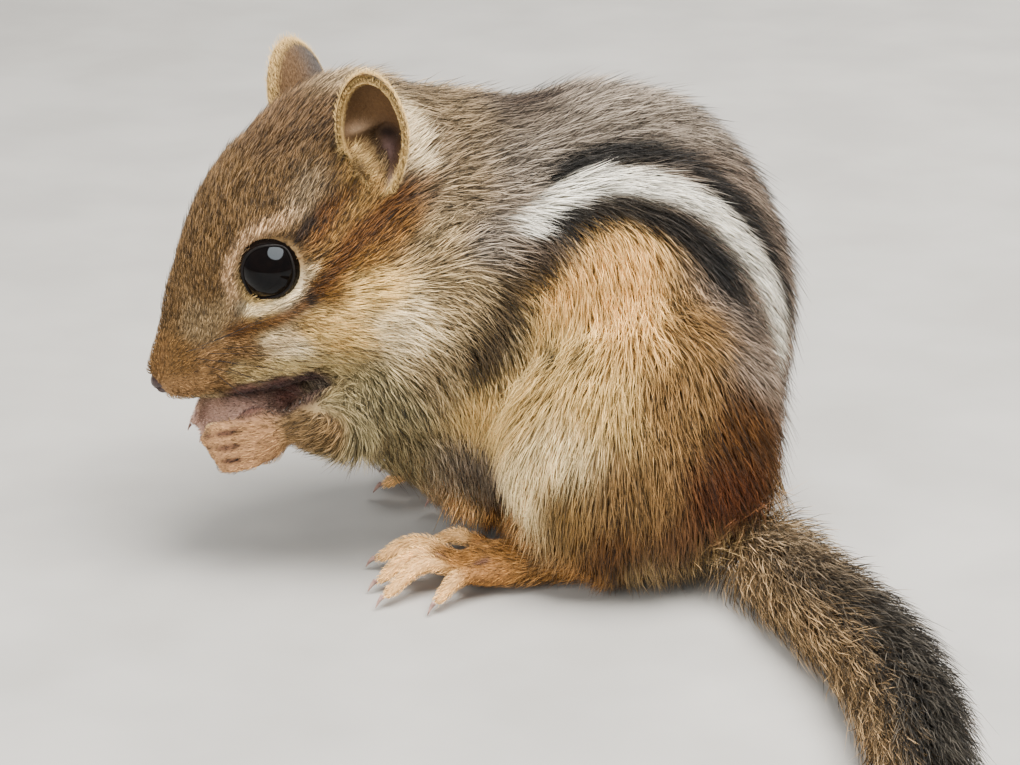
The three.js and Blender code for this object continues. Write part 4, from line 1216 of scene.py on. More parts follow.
def noseForm():
    # an egg with two nostrils pressed in and a groove down its middle
    angle = np.linspace(0, math.pi, 42)[1:-1]
    turn = np.linspace(0, 2 * math.pi, 56, endpoint=False)
    ring = np.stack([
        np.repeat(-np.cos(angle)[:, None], 56, 1),
        np.sin(angle)[:, None] * np.sin(turn)[None],
        np.sin(angle)[:, None] * np.cos(turn)[None],
    ], -1)
    rows = ring * nose["radii"] + nose["at"]
    place, reach, depth = nose["nostrils"]
    middle = np.array(nose["at"])
    inwards = unit(middle - rows)
    press = np.zeros(rows.shape[:2])
    for flip in (np.ones(3), flipY):
        away = (rows - np.array(place) * flip) / np.array(nose["slit"])
        press += depth * np.exp(-((np.linalg.norm(away, axis=-1) / reach) ** 2))
    groove = np.exp(-((rows[..., 1] / nose["cleftWidth"]) ** 2))
    press += nose["cleft"] * groove * smoothStep(*nose["cleftFrom"], rows[..., 2])
    rows = rows + inwards * press[..., None]
    first = middle - np.array((nose["radii"][0] - nose["cleft"] * 0.5, 0, 0))
    last = middle + np.array((nose["radii"][0], 0, 0))
    points, quads, caps = closedTube(rows, first[None], last[None])
    return outwards(headToBody(points), quads, caps)


# Ears

ear = {
    "centre": {"left": (37.0, -13.6, 12.3), "right": (35.2, 14.1, 12.2)},
    "rise": {"left": (0.42, -0.1, 0.9), "right": (0.42, 0.1, 0.9)},  # from notch to tip
    "facing": {"left": (-0.5, -0.86, 0.1), "right": (-0.34, 0.94, 0.1)},  # out of the cup
    "halfHeight": 7.9,
    "halfWidth": 4.25,
    "depth": 4.0,
    "wall": 0.55,
    "narrow": 0.2,
    "frontSink": 1.6,
    # places in the cup: across, high, reach across, reach high
    "sinkAt": (-0.62, -0.62, 0.55, 0.45),
    "tuftAt": (-0.48, -0.52, 0.36, 0.42),
    "lobeAt": (0.42, -0.80, 0.22, 0.16),
    "bareAt": (0.2, -0.2, 0.3, 0.35),
    "frontAt": (-0.7, -0.55, 0.5, 0.45),
    # forms in the cup: across, high, reach across, reach high, how far each stands out in mm
    "relief": [
        (-0.40, 0.06, 0.50, 0.12, 1.4),
        (0.22, -0.10, 0.42, 0.14, -1.7),
        (0.10, -0.52, 0.10, 0.20, -1.2),
        (-0.45, -0.50, 0.34, 0.38, 2.5),
        (0.42, -0.80, 0.20, 0.15, 1.9),
    ],
    "inside": (0.35, 0.255, 0.16),
    "rim": (0.86, 0.72, 0.46),
    # colours in the cup, with painted shade in its hollows and a painted highlight on its fold: across,
    # high, reach across, reach high, colour, strength
    "tintsAndShading": [
        (0.0, 0.80, 0.80, 0.28, (0.34, 0.25, 0.16), 0.6),
        # darker in the cavity: mauve skin with painted shade
        (0.35, -0.30, 0.42, 0.40, (0.19, 0.14, 0.14), 0.85),
        # painted highlight on the top of the fold
        (-0.45, 0.08, 0.36, 0.10, (0.50, 0.41, 0.32), 0.8),
        # painted shade in the hollow under the fold
        (0.24, -0.08, 0.42, 0.13, (0.10, 0.07, 0.06), 0.97),
        (0.20, -0.34, 0.24, 0.14, (0.42, 0.33, 0.31), 0.8),
        # painted shade in the opening of the ear
        (0.08, -0.56, 0.11, 0.16, (0.14, 0.10, 0.09), 0.95),
        (-0.45, -0.50, 0.34, 0.38, (0.42, 0.34, 0.22), 0.85),
        (0.42, -0.80, 0.22, 0.16, (0.58, 0.50, 0.44), 0.85),
    ],
    # hair: colour of the front and the back of the cup, of the tuft and of the rest inside
    "front": (0.41, 0.31, 0.205),
    "back": (0.35, 0.325, 0.31),
    "tuft": (0.50, 0.40, 0.26),
    "down": (0.36, 0.265, 0.16),
}


def earFrame(side):
    rise = unit(np.array(ear["rise"][side], float))
    facing = np.array(ear["facing"][side], float)
    facing = unit(facing - rise * (facing @ rise))
    across = unit(np.cross(rise, facing)) * (1 if side == "left" else -1)  # towards the back of the head
    return np.array(ear["centre"][side], float), rise, facing, across


def bell(across, high, at):
    # 1 at a form's middle, falling off as exp(-distance squared) in its own reaches
    return np.exp(-(((across - at[0]) / at[2]) ** 2) - ((high - at[1]) / at[3]) ** 2)


def earForm(side):
    # rows run from the back of the cup over its rim and down into it, each an oval narrowed at the notch
    centre, rise, facing, across = earFrame(side)
    turn = np.linspace(0, 2 * math.pi, 96, endpoint=False)
    wall = ear["wall"] / ear["halfWidth"]
    outer = np.sin(np.linspace(0, math.pi / 2, 26)[1:])
    inner = (1 - wall) * np.sin(np.linspace(math.pi / 2, 0, 40)[:-1])
    size = np.concatenate([outer, [1 - wall * 0.3, 1 - wall * 0.75], inner])
    isInner = np.arange(len(size)) >= len(outer) + 2
    high = size[:, None] * np.sin(turn)[None]
    wide = size[:, None] * np.cos(turn)[None]
    deepOuter = -ear["depth"] * np.sqrt(np.maximum(0, 1 - size**2))
    shareIn = np.clip(size / (1 - wall), 0, 1)
    deepInner = -(ear["depth"] - ear["wall"]) * (1 - shareIn**2.3) ** 0.75
    deep = np.where(isInner, deepInner, deepOuter)[:, None] * np.ones_like(high)
    deep[len(outer)] += 0.18
    deep[len(outer) + 1] += 0.16
    for form in ear["relief"]:
        push = form[4] * bell(wide, high, form) * (1 - shareIn[:, None] ** 8)
        deep = deep + np.where(isInner[:, None], push, 0)
    # the hollow stays inside the back, and the rim sinks at the lower front
    back = (0.35 - ear["depth"] * np.sqrt(np.maximum(0, 1 - size**2)))[:, None]
    deep = np.where(isInner[:, None], np.maximum(deep, back), deep)
    deep = deep - ear["frontSink"] * bell(wide, high, ear["sinkAt"]) * size[:, None] ** 4
    narrow = 1 - ear["narrow"] * np.maximum(0, -high)
    rows = (
        centre + rise * (high * ear["halfHeight"])[..., None]
        + across * (wide * ear["halfWidth"] * narrow)[..., None] + facing * deep[..., None]
    )
    first = centre - facing * ear["depth"]
    last = rows[-1].mean(0)
    points, quads, caps = closedTube(rows, first[None], last[None])
    marks = {
        "inner": np.concatenate([np.repeat(isInner, 96), [False, True]]).astype(float),
        "edge": np.concatenate([np.repeat(np.where(isInner, shareIn, size), 96), [0, 0]]),
        "high": np.concatenate([high.ravel(), [0, 0]]),
        "wide": np.concatenate([wide.ravel(), [0, 0]]),
    }
    return (*outwards(headToBody(points), quads, caps), marks)


def tintedAndShaded(base, wide, high):
    # the cup's colours, with painted shade in its hollows and a painted highlight on its fold, laid one
    # after another over a base
    colours = np.broadcast_to(linear(base), (len(wide), 3))
    for tint in ear["tintsAndShading"]:
        colours = mixed(colours, linear(tint[4]), tint[5] * bell(wide, high, tint))
    return colours


def earOutside(wide):
    return mixed(linear(ear["front"]), linear(ear["back"]), smoothStep(-0.4, 0.5, wide))


def makeEar(side, material):
    # the cup's skin: its colours and painted shading inside, the rim, and the front's and back's colours
    # outside
    points, quads, caps, marks = earForm(side)
    piece = meshObject("ear_cup_" + side, points, [quads, caps], material)
    inside = tintedAndShaded(ear["inside"], marks["wide"], marks["high"])
    inside = mixed(inside, linear(ear["rim"]), 0.6 * smoothStep(0.90, 0.99, marks["edge"]))
    # the skin outside is painted darker, as shade under its hair
    outside = 0.7 * earOutside(marks["wide"])
    paint(piece, "coatColour", np.where(marks["inner"][:, None] > 0.5, inside, outside))
    return piece, marks


# Claws and whiskers

claws = {
    "toeLength": 1.2,
    "fingerLength": 0.6,
    "toeRadius": 0.34,
    "fingerRadius": 0.2,
    "toeBend": 0.7,
    "fingerBend": 0.4,
    "toeRise": 0.4,
    "buried": 0.45,  # how much of each lies in the digit, mm
}


def hornForm(start, ahead, length, radius, bend):
    # a cone along an arc that bends down, round at its root
    share = np.linspace(0, 1, 12)
    line = start + np.outer(share * length, ahead) - np.outer(bend * share**2, (0, 0, 1))
    line[:, 2] = np.maximum(line[:, 2], 0.12 + radius * 0.5 * (1 - share))
    size = radius * (1 - share) ** 0.75 + 0.03
    return tubeForm(line, size, 10, (0, 0, 1), flat=0.75, ends=(radius * 0.5, 0.05))


def clawForms():
    forms = []
    for flip in (list, mirrorRows):
        for toe in body["toes"]:
            knuckle, tip = (np.array(p, float) for p in flip(toe)[1:])
            ahead = unit(tip - knuckle)
            start = tip + ahead * (body["toeRadius"] * 0.35 - claws["buried"])
            start = start + np.array((0, 0, claws["toeRise"]))
            size = (claws["toeLength"], claws["toeRadius"], claws["toeBend"])
            forms.append(hornForm(start, ahead, *size))
    for side in ("left", "right"):
        for finger in fingerPoints(side):
            knuckle, tip = (np.array(p, float) for p in finger[1:])
            ahead = unit(tip - knuckle)
            start = tip + ahead * (body["fingerRadius"] * 0.4 - claws["buried"])
            size = (claws["fingerLength"], claws["fingerRadius"], claws["fingerBend"])
            forms.append(hornForm(start, ahead, *size))
    return forms


whiskers = {
    "rows": 4,
    "perRow": 5,
    "longest": 21,
    "radius": 0.055,
    "taper": 0.85,
    # of the first whisker, added along a row, and added from row to row
    "roots": ((5.0, -4.9, 1.6), (1.5, -0.62, -0.25), (0.4, 0, -1.35)),
    "aims": ((0.25, -1.0, 0.35), (0.22, 0, 0), (0, 0, -0.30)),
    "aimSpread": 0.08,
    "bend": (0.22, 0.06, -0.16),
}


def stepped(rule, i, row):
    # first + i along + row between
    first, along, between = np.array(rule, float)
    return first + i * along + row * between


def whiskerForms():
    # rows on the muzzle: each whisker a thin taper along an arc that bends back and down
    draw = np.random.default_rng(5)
    forms = []
    for flip in (np.ones(3), flipY):
        for row in range(whiskers["rows"]):
            for i in range(whiskers["perRow"]):
                root = stepped(whiskers["roots"], i, row)
                ahead = stepped(whiskers["aims"], i, row) + draw.normal(0, whiskers["aimSpread"], 3)
                length = whiskers["longest"] * (0.5 + 0.11 * i) * draw.uniform(0.8, 1.0)
                share = np.linspace(0, 1, 12)
                bend = np.array(whiskers["bend"]) * length * draw.uniform(0.6, 1.3)
                line = root + np.outer(share * length, unit(ahead)) + np.outer(share**2, bend)
                size = whiskers["radius"] * (1 - whiskers["taper"] * share)
                forms.append(tubeForm(headToBody(line * flip), size, 5, (0.1, 0.2, 1)))
    return forms


# The coat

coat = {
    "cover": 3.0,  # how many hairs lie over each point
    "mostPerArea": 17,  # hairs per square mm
    "pawPerArea": 12,
    "tailPerArea": 9.0,
    "width": 0.09,
    "widthPerLength": 0.009,
    "flatness": 0.6,
    "clump": 1.0,
    "pull": 0.24,
    "sink": 0.3,
    "seenAt": 0.6,  # share of a hair's length whose place gives it its marking
    "guards": 0.08,  # share of long dark hairs
    "piece": 19500,  # hairs in one piece, and in one of longer hairs with a level more
    "longPiece": 12187,
    "seed": 7,
    "patch": 0.003,  # size of each hair's patch in the unwrap
    "seatBelow": 1.6,  # no hair under what rests on the floor
    "underBelow": 14,  # fewer hairs on the underside
    "underShare": 0.6,
    "eyeBare": 3.36,  # no hair nearer to the eye's axis, and how much farther at the corners
    "eyeBareReach": 0.9,
    "noseBare": 0.98,
    "swayWave": 0.15,
    "waveLength": 3.2,
    "swayClump": 0.12,
    "swayHair": 0.13,
    "lengthClump": 0.12,
    "lengths": (0.75, 1.12),  # least and most of what the place says
    "heights": (0.7, 1.12),
    "widths": (0.75, 1.25),
    "tailLengths": (0.7, 1.0),
    "tailHeights": (0.35, 1.0),
    "tailShorter": 0.92,
    "widestAt": 6.5,  # hairs longer than this are no wider
    "bend": 0.05,
    "toneClump": 0.2,
    "toneHair": 0.33,
    "toneLimits": (0.3, 1.8),
    "paleFrom": (0.28, 0.55),
    "paleSpared": 0.6,  # fewer pale hairs have a dark band
    "guardTone": (0.30, 0.45),  # of a dark hair, and added on a pale coat
    "guardLonger": 1.2,
    "guardHigher": (1.25, 0.15),
}


def triangleData(mesh):
    # corners, areas and unwrap of a mesh's triangles
    mesh.calc_loop_triangles()
    count = len(mesh.loop_triangles)
    corners = np.empty(count * 3, np.int32)
    mesh.loop_triangles.foreach_get("vertices", corners)
    loops = np.empty(count * 3, np.int32)
    mesh.loop_triangles.foreach_get("loops", loops)
    uv = np.empty(len(mesh.loops) * 2, np.float32)
    mesh.uv_layers.active.data.foreach_get("uv", uv)
    return corners.reshape(-1, 3), uv.reshape(-1, 2)[loops.reshape(-1, 3)]


def unwrap(piece):
    # lays the piece's surface out flat, for the place of each hair on it
    bpy.context.view_layer.objects.active = piece
    for other in bpy.context.selected_objects:
        other.select_set(False)
    piece.select_set(True)
    piece.data.uv_layers.new(name="unwrap")
    bpy.ops.object.mode_set(mode="EDIT")
    bpy.ops.mesh.select_all(action="SELECT")
    bpy.ops.uv.smart_project(angle_limit=math.radians(66), island_margin=0.002)
    bpy.ops.object.mode_set(mode="OBJECT")


def scatter(points, triangles, uv, perArea, draw):
    # roots spread evenly by area: places at regular steps of the running sum of triangle weights
    a, b, c = (points[triangles[:, k]] for k in range(3))
    area = np.linalg.norm(np.cross(b - a, c - a), axis=1) / 2
    total = np.cumsum(area * perArea)
    count = int(total[-1])
    steps = (np.arange(count) + draw.random(count)) * total[-1] / count
    chosen = np.minimum(np.searchsorted(total, steps), len(total) - 1)
    u, v = draw.random((2, count))
    over = u + v > 1
    u[over], v[over] = 1 - u[over], 1 - v[over]
    share = np.stack([1 - u - v, u, v], -1)
    place = np.einsum("ij,ijk->ik", share, points[triangles[chosen]])
    return place, np.einsum("ij,ijk->ik", share, uv[chosen]), chosen, share


def hashed(cells, salt):
    # three shares from 0 to 1 for each cell, always the same
    bits = cells[..., 0] * 73856093 ^ cells[..., 1] * 19349663 ^ cells[..., 2] * 83492791
    bits = bits ^ salt * 2654435761
    bits = bits & 0xFFFFFFFF
    parts = []
    for k in range(3):
        bits = (bits * 1664525 + 1013904223 + k * 97) & 0xFFFFFFFF
        parts.append(((bits >> 8) & 0xFFFF) / 65535)
    return np.stack(parts, -1)


def clumpOf(points, size):
    # the nearest of the jittered middles of the cells round each point
    cell = np.floor(points / size).astype(np.int64)
    best = np.full(len(points), 1e9)
    middle = np.zeros_like(points)
    chance = np.zeros_like(points)
    for dx in (-1, 0, 1):
        for dy in (-1, 0, 1):
            for dz in (-1, 0, 1):
                near = cell + np.array((dx, dy, dz))
                at = (near + hashed(near, 1)) * size
                gap = ((points - at) ** 2).sum(1)
                closer = gap < best
                best[closer] = gap[closer]
                middle[closer] = at[closer]
                chance[closer] = hashed(near[closer], 2)
    return middle, chance


def waves(points, scale, salt):
    # a smooth unevenness between -1 and 1: a few sines across space
    draw = np.random.default_rng(salt)
    total = np.zeros(len(points))
    for _ in range(5):
        way = draw.normal(0, 1, 3) / scale
        total += np.sin(points @ way + draw.uniform(0, 6.28))
    return total / 2.5


def growHair(root, normal, lie, length, height, width, pull, bend, shares):
    # each hair's line at share s: root + lie length s + normal height (1 - (1 - s)^2) + side bend s^2 +
    # pull s^1.5; its section is a flat triangle
    side = unit(np.cross(lie, normal))
    count = len(root)
    lines = []
    for s in shares:
        rise = 1 - (1 - s) ** 2.0
        line = root + lie * (length * s)[:, None] + normal * (height * rise)[:, None]
        line = line + side * (bend * s**2)[:, None] + pull * s**1.5
        lines.append(line)
    lines = np.stack(lines, 1)
    lines[:, 0] -= normal * coat["sink"]
    lines[..., 2] = np.maximum(lines[..., 2], 0.12)
    slope = np.gradient(lines, axis=1)
    across = unit(np.cross(slope, normal[:, None, :]))
    up = unit(np.cross(across, slope))
    rings = len(shares) - 1
    corner = np.radians([90.0, 210.0, 330.0])
    taper = np.array([1 - 0.75 * s**1.6 for s in shares[:-1]])
    half = (width[:, None] * taper[None] / 2)[..., None, None]
    section = (
        np.cos(corner)[None, None, :, None] * across[:, :rings, None, :]
        + coat["flatness"] * np.sin(corner)[None, None, :, None] * up[:, :rings, None, :]
    )
    tube = lines[:, :rings, None, :] + half * section
    return np.concatenate([tube.reshape(count, rings * 3, 3), lines[:, -1:]], 1)


def hairFaces(count, rings):
    # quads between rings, three triangles to the tip and one under the root
    step = rings * 3 + 1
    quads = [(r * 3 + k, r * 3 + (k + 1) % 3, r * 3 + 3 + (k + 1) % 3, r * 3 + 3 + k)
             for r in range(rings - 1) for k in range(3)]
    top = (rings - 1) * 3
    tris = [(top + k, top + (k + 1) % 3, rings * 3) for k in range(3)] + [(0, 2, 1)]
    start = (np.arange(count) * step)[:, None, None]
    return (start + np.array(quads)).reshape(-1, 4), (start + np.array(tris)).reshape(-1, 3)


def hairPiece(name, hair, colours, seeds, uv, shares, material):
    # one joined piece of hair, with its colours, its share along each hair and its patch of the unwrap
    count, per = hair.shape[:2]
    rings = len(shares) - 1
    quads, tris = hairFaces(count, rings)
    piece = meshObject(name, hair.reshape(-1, 3), [quads, tris], material)
    along = np.concatenate([np.repeat(shares[:-1], 3), shares[-1:]])
    paint(piece, "coatColour", np.repeat(colours, per, 0))
    paint(piece, "along", np.tile(along, count))
    paint(piece, "seed", np.repeat(seeds, per))
    patch = coat["patch"]
    across = np.concatenate([np.tile((0, 0.5, 1), rings), [0.5]])
    offset = np.stack([across, along], -1) * patch - patch / 2
    spot = np.clip(uv, patch, 1 - patch)[:, None, :] + offset[None]
    spot = spot.reshape(-1, 2)
    corners = np.empty(len(piece.data.loops), np.int32)
    piece.data.loops.foreach_get("vertex_index", corners)
    layer = piece.data.uv_layers.new(name="OFBake")
    layer.data.foreach_set("uv", spot[corners].astype(np.float32).ravel())
    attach(piece, "root")
    return piece


zones = [
    # name, slot, finish, levels along the hair; the first that holds a root takes it
    ("tail", "coat_grizzled", "tailHair", (0, 0.3, 0.65, 1)),
    ("face", "coat_tawny", "shortHair", (0, 0.5, 1)),
    ("crown", "coat_tawny", "headHair", (0, 0.5, 1)),
    ("feet", "coat_russet", "shortHair", (0, 0.5, 1)),
    ("thigh", "coat_tawny", "bodyHair", (0, 0.5, 1)),
    ("back", "coat_grizzled", "backHair", (0, 0.5, 1)),
    ("belly", "coat_tawny", "bodyHair", (0, 0.5, 1)),
]


def zoneOf(points, depth, tail):
    # the number in zones of the first zone that holds each point
    local = bodyToHead(points)
    inHead = (local[:, 0] < 42) & (points[:, 0] < -22) & (points[:, 2] > 24)
    holds = [
        tail > 0.5,
        inHead & (local[:, 0] < 24) & (depth < 1.6),
        inHead,
        depth < 1.3,
        (np.abs(points[:, 1]) > 17) & (points[:, 2] < 42) & (points[:, 0] > -20),
        points[:, 2] > 36,
    ]
    return np.select(holds, list(range(len(holds))), len(holds))


def hairsPerArea(middle, facing):
    # hairs per square mm on each triangle: 2 cover / (length width), and none where the coat is bare
    values = blended(middle)
    length = values[:, 4]
    width = coat["width"] + coat["widthPerLength"] * length
    perArea = np.minimum(2 * coat["cover"] / (length * width), coat["mostPerArea"])
    perArea = np.where(onTail(middle)[0] > 0.5, coat["tailPerArea"], perArea)
    local = bodyToHead(middle)
    paw = (values[:, 3] < 0.9) & ((local[:, 0] > 30) | (middle[:, 2] < 23))
    perArea = np.where(paw, np.minimum(perArea, coat["pawPerArea"]), perArea)
    under = (facing[:, 2] < -0.6) & (middle[:, 2] < coat["underBelow"])
    bare = (middle[:, 2] < coat["seatBelow"]) & (facing[:, 2] < -0.5)
    for flip in (np.ones(3), flipY):
        high, wide, reach = roundEye(local, flip)
        bare |= (high > 0) & (wide < coat["eyeBare"] + coat["eyeBareReach"] * reach)
    toNose = np.linalg.norm((local - np.array(nose["at"])) / np.array(nose["radii"]), axis=1)
    bare |= toNose < coat["noseBare"]
    return np.where(bare, 0.0, perArea * np.where(under, coat["underShare"], 1.0))


def makeCoat(skin, finishes):
    draw = np.random.default_rng(coat["seed"])
    points = readPoints(skin.data)
    normals = readNormals(skin.data)
    triangles, uv = triangleData(skin.data)
    perArea = hairsPerArea(points[triangles].mean(1), unit(normals[triangles].mean(1)))
    root, rootUv, chosen, inTriangle = scatter(points, triangles, uv, perArea, draw)
    normal = unit(np.einsum("ij,ijk->ik", inTriangle, normals[triangles[chosen]]))
    values = blended(root)
    tail, share, ahead = onTail(root)
    tail = (tail > 0.5).astype(float)
    count = len(root)
    lie = unit(values[:, :3])
    rumpward = tailHair["fromRump"] * (1 - smoothStep(*tailHair["rumpEnd"], share))[:, None]
    lie = np.where(tail[:, None] > 0, unit(ahead + rumpward * lie), lie)
    clumpMiddle, chance = clumpOf(root, coat["clump"])
    side = unit(np.cross(lie, normal))
    sway = coat["swayWave"] * waves(root, coat["waveLength"], 3)
    sway = sway + coat["swayClump"] * (chance[:, 0] - 0.5) * 2 + draw.normal(0, coat["swayHair"], count)
    lie = unit(inSurface(unit(lie + side * sway[:, None]), normal))
    length = values[:, 4] * (1 + coat["lengthClump"] * (chance[:, 1] - 0.5) * 2)
    length = length * draw.uniform(*coat["lengths"], count)
    height = values[:, 3] * draw.uniform(*coat["heights"], count)
    added = tailHair["lengthAdded"] * smoothStep(*tailHair["longFrom"], share)
    tailLength = (tailHair["lengthAtRoot"] + added) * draw.uniform(*coat["tailLengths"], count)
    tailReach = tailHair["reach"] - tailHair["reachLostAtTip"] * smoothStep(*tailHair["tipFrom"], share)
    atRoot = smoothStep(*tailHair["rootEnd"], share) * (normal[:, 2] < 0.5)
    tailReach = tailReach + tailHair["reachAddedAtRoot"] * atRoot
    length = np.where(tail > 0, tailLength * coat["tailShorter"], length)
    height = np.where(tail > 0, tailReach * draw.uniform(*coat["tailHeights"], count), height)
    width = coat["width"] + coat["widthPerLength"] * np.minimum(length, coat["widestAt"])
    width = width * draw.uniform(*coat["widths"], count)
    clumped = coat["pull"] * np.clip(length / 5, 0.3, 1)[:, None] * (clumpMiddle - root)
    clumped = inSurface(clumped, normal)
    bend = draw.normal(0, coat["bend"], count) * length
    # a hair takes the marking over which most of it is seen, and on the tail that of its root
    offset = normal * values[:, 3:4] + lie * (length * coat["seenAt"])[:, None]
    colours = coatColours(root + offset * (1 - tail[:, None]))
    tone = 1 + coat["toneClump"] * (chance[:, 2] - 0.5) * 2 + draw.normal(0, coat["toneHair"], count)
    guard = (draw.random(count) < coat["guards"]) & (values[:, 3] > 0.5) & (tail < 0.5)
    length = np.where(guard, length * coat["guardLonger"], length)
    more, added = coat["guardHigher"]
    height = np.where(guard, height * more + added, height)
    pale = smoothStep(*coat["paleFrom"], colours.mean(1))
    darkest, lighter = coat["guardTone"]
    tone = np.clip(np.where(guard, darkest + lighter * pale, tone), *coat["toneLimits"])
    colours = colours * tone[:, None]
    seeds = draw.random(count) * (1 - coat["paleSpared"] * pale) + coat["paleSpared"] * pale
    zone = zoneOf(root, values[:, 3], tail)
    total = 0
    for index, (name, slot, finish, shares) in enumerate(zones):
        mine = np.nonzero(zone == index)[0]
        most = coat["piece"] if len(shares) == 3 else coat["longPiece"]
        parts = max(1, math.ceil(len(mine) / most))
        for part in range(parts):
            pick = mine[part * len(mine) // parts:(part + 1) * len(mine) // parts]
            if not len(pick):
                continue
            hair = growHair(
                root[pick], normal[pick], lie[pick], length[pick], height[pick], width[pick],
                clumped[pick], bend[pick], np.array(shares, float),
            )
            hairPiece(
                "coat_" + name + "_" + str(part + 1), hair, colours[pick], seeds[pick], rootUv[pick],
                np.array(shares, float), finishes[finish],
            )
            total += len(pick)
        print("coat:", name, len(mine), "hairs in", parts, "pieces")
    print("coat:", total, "hairs")


def makeEarHair(side, piece, marks, finish):
    # short hair over the back of the cup to its tip, down inside, along the rim and in the front tuft
    draw = np.random.default_rng(21 if side == "left" else 22)
    points = readPoints(piece.data)
    normals = readNormals(piece.data)
    triangles, uv = triangleData(piece.data)
    keys = ("inner", "edge", "high", "wide")
    inner, edge, high, wide = (marks[key][triangles].mean(1) for key in keys)
    tuft = np.where(inner > 0.5, bell(wide, high, ear["tuftAt"]), 0)
    lobe = np.where(inner > 0.5, bell(wide, high, ear["lobeAt"]), 0)
    within = 6 + 12 * smoothStep(0.8, 1, edge) + 14 * np.maximum(tuft, lobe)
    perArea = np.where(inner > 0.5, within, 20.0)
    perArea = np.where((inner > 0.5) & (bell(wide, high, ear["bareAt"]) > 0.6), 0.0, perArea)
    root, rootUv, chosen, inTriangle = scatter(points, triangles, uv, perArea, draw)
    inner, edge, high, wide, tuft, lobe = (v[chosen] for v in (inner, edge, high, wide, tuft, lobe))
    normal = unit(np.einsum("ij,ijk->ik", inTriangle, normals[triangles[chosen]]))
    count = len(root)
    centre, rise, facing, across = earFrame(side)
    upwards = headTurn @ rise
    away = unit(root - headToBody(centre[None])[0])
    inside = inner > 0.5
    lie = np.where(inside[:, None], unit(away + 0.3 * upwards), upwards)
    front = smoothStep(0.3, 0.8, bell(wide, high, ear["frontAt"]))
    inTuft = (np.maximum(tuft, front) > 0.4)[:, None]
    lie = np.where(inTuft, unit(headTurn @ across + 0.7 * upwards), lie)
    lie = unit(inSurface(unit(lie + draw.normal(0, 0.22, (count, 3))), normal))
    atRim = smoothStep(0.86, 0.95, edge)
    length = np.where(inside, 0.45 + 1.6 * tuft + 0.5 * lobe + 0.4 * atRim, 1.2) + 1.6 * front
    length = length * draw.uniform(0.6, 1.15, count)
    height = np.where(inside, 0.12 + 0.7 * tuft + 0.2 * lobe, 0.2) + 0.5 * front
    height = height * draw.uniform(0.6, 1.2, count)
    width = np.full(count, 0.055)
    colours = mixed(tintedAndShaded(ear["down"], wide, high), linear(ear["tuft"]), smoothStep(0.3, 0.7, tuft))
    colours = mixed(colours, linear(ear["rim"]), smoothStep(0.86, 0.97, edge))
    outside = mixed(earOutside(wide), linear(ear["rim"]), smoothStep(0.80, 0.97, edge))
    colours = np.where(inside[:, None], colours, outside) * draw.uniform(0.7, 1.3, count)[:, None]
    shares = np.array((0, 0.5, 1.0))
    none = np.zeros((count, 3))
    hair = growHair(root, normal, lie, length, height, width, none, none[:, 0], shares)
    seeds = draw.random(count)
    hairPiece("coat_ear_" + side, hair, colours, seeds, rootUv, shares, finish)


# Making the whole animal

makeCamera()
makeStudio()
print("camera and studio done")

agouti = makeAgoutiGroup()
finishes = {
    "earHair": coatMaterial("earHair", agouti, ticks=0.0, root=0.8, lift=0.2),
    "shortHair": coatMaterial("shortHair", agouti, ticks=0.42, root=0.55, lift=0.40),
    "headHair": coatMaterial("headHair", agouti, ticks=0.46, root=0.55, lift=0.55),
    "bodyHair": coatMaterial("bodyHair", agouti, ticks=0.20, root=0.58, lift=0.35),
    "backHair": coatMaterial("backHair", agouti, ticks=0.44, root=0.62, lift=0.55),
    "tailHair": coatMaterial("tailHair", agouti, ticks=0.70, root=0.55, lift=0.9),
}

skin = makeSkin(skinMaterial())
paintSkin(skin)
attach(skin, "root")
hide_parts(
    "head", "neck", "chest", "loin", "rump", "tail_base", "tail_middle", "tail_end",
    *[part + "_" + side for part in ("thigh", "hind_foot", "upper_arm", "forearm", "hand")
      for side in ("left", "right")],
)

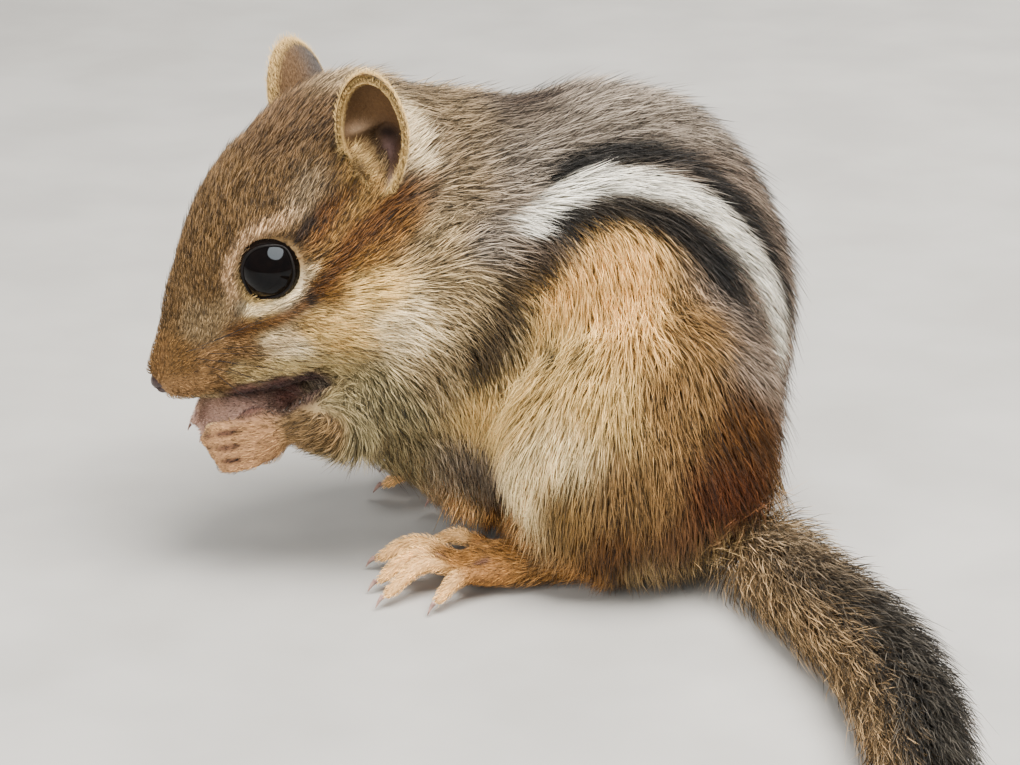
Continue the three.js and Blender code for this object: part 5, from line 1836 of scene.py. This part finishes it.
dark = eyeMaterial()
rimSkin = plainMaterial(
    "lidSkin", (0.03, 0.025, 0.022), (0.07, 0.055, 0.05), 0.6, 3000, 0.3, 0.0001, Specular_IOR_Level=0.2,
)
noseSkin = plainMaterial("noseSkin", (0.15, 0.11, 0.10), (0.26, 0.19, 0.18), 0.5, 2500, 0.5, 0.00012)
horn = plainMaterial("clawHorn", (0.44, 0.33, 0.30), (0.64, 0.52, 0.47), 0.38, 1200, 0.2, 0.00008)
whiskerHair = plainMaterial(
    "whiskerHair", (0.06, 0.045, 0.035), (0.17, 0.13, 0.10), 0.4, 400, 0.0, 0.0001,
)

for side, flip in (("left", np.ones(3)), ("right", flipY)):
    points, quads, caps = eyeForm(flip)
    ball = meshObject("eye_ball_" + side, headToBody(points), [quads, caps], dark)
    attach(ball, "root")
    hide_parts("eye_" + side)
    points, quads, caps = lidForm(flip)
    lid = meshObject("lids_" + side, headToBody(points), [quads], rimSkin)
    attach(lid, "root")

points, quads, caps = noseForm()
pad = meshObject("nose_pad", points, [quads, caps], noseSkin)
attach(pad, "root")
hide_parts("nose")
print("eyes and nose done")

earSkin = skinMaterial()
for side in ("left", "right"):
    cup, marks = makeEar(side, earSkin)
    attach(cup, "root")
    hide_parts("ear_" + side)
    unwrap(cup)
    makeEarHair(side, cup, marks, finishes["earHair"])
    cup.data.uv_layers.remove(cup.data.uv_layers["unwrap"])
print("ears done")

points, quads, caps = joinForms(clawForms())
clawPiece = meshObject("claws", points, [quads, caps], horn)
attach(clawPiece, "root")
points, quads, caps = joinForms(whiskerForms())
whiskerPiece = meshObject("whiskers", points, [quads, caps], whiskerHair)
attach(whiskerPiece, "root")
print("claws and whiskers done")

unwrap(skin)
print("skin unwrapped")
makeCoat(skin, finishes)
skin.data.uv_layers.remove(skin.data.uv_layers["unwrap"])

floorMaterial = plainMaterial("paleFloor", (0.61, 0.60, 0.58), (0.65, 0.64, 0.62), 0.85, 40, 0.1, 0.0002)
reach = 2500
corners = [(x * reach, y * reach, -0.02) for x, y in ((-1, -1), (1, -1), (1, 1), (-1, 1))]
floor = meshObject("floor", corners, [[(0, 1, 2, 3)]], floorMaterial)

print("model done")
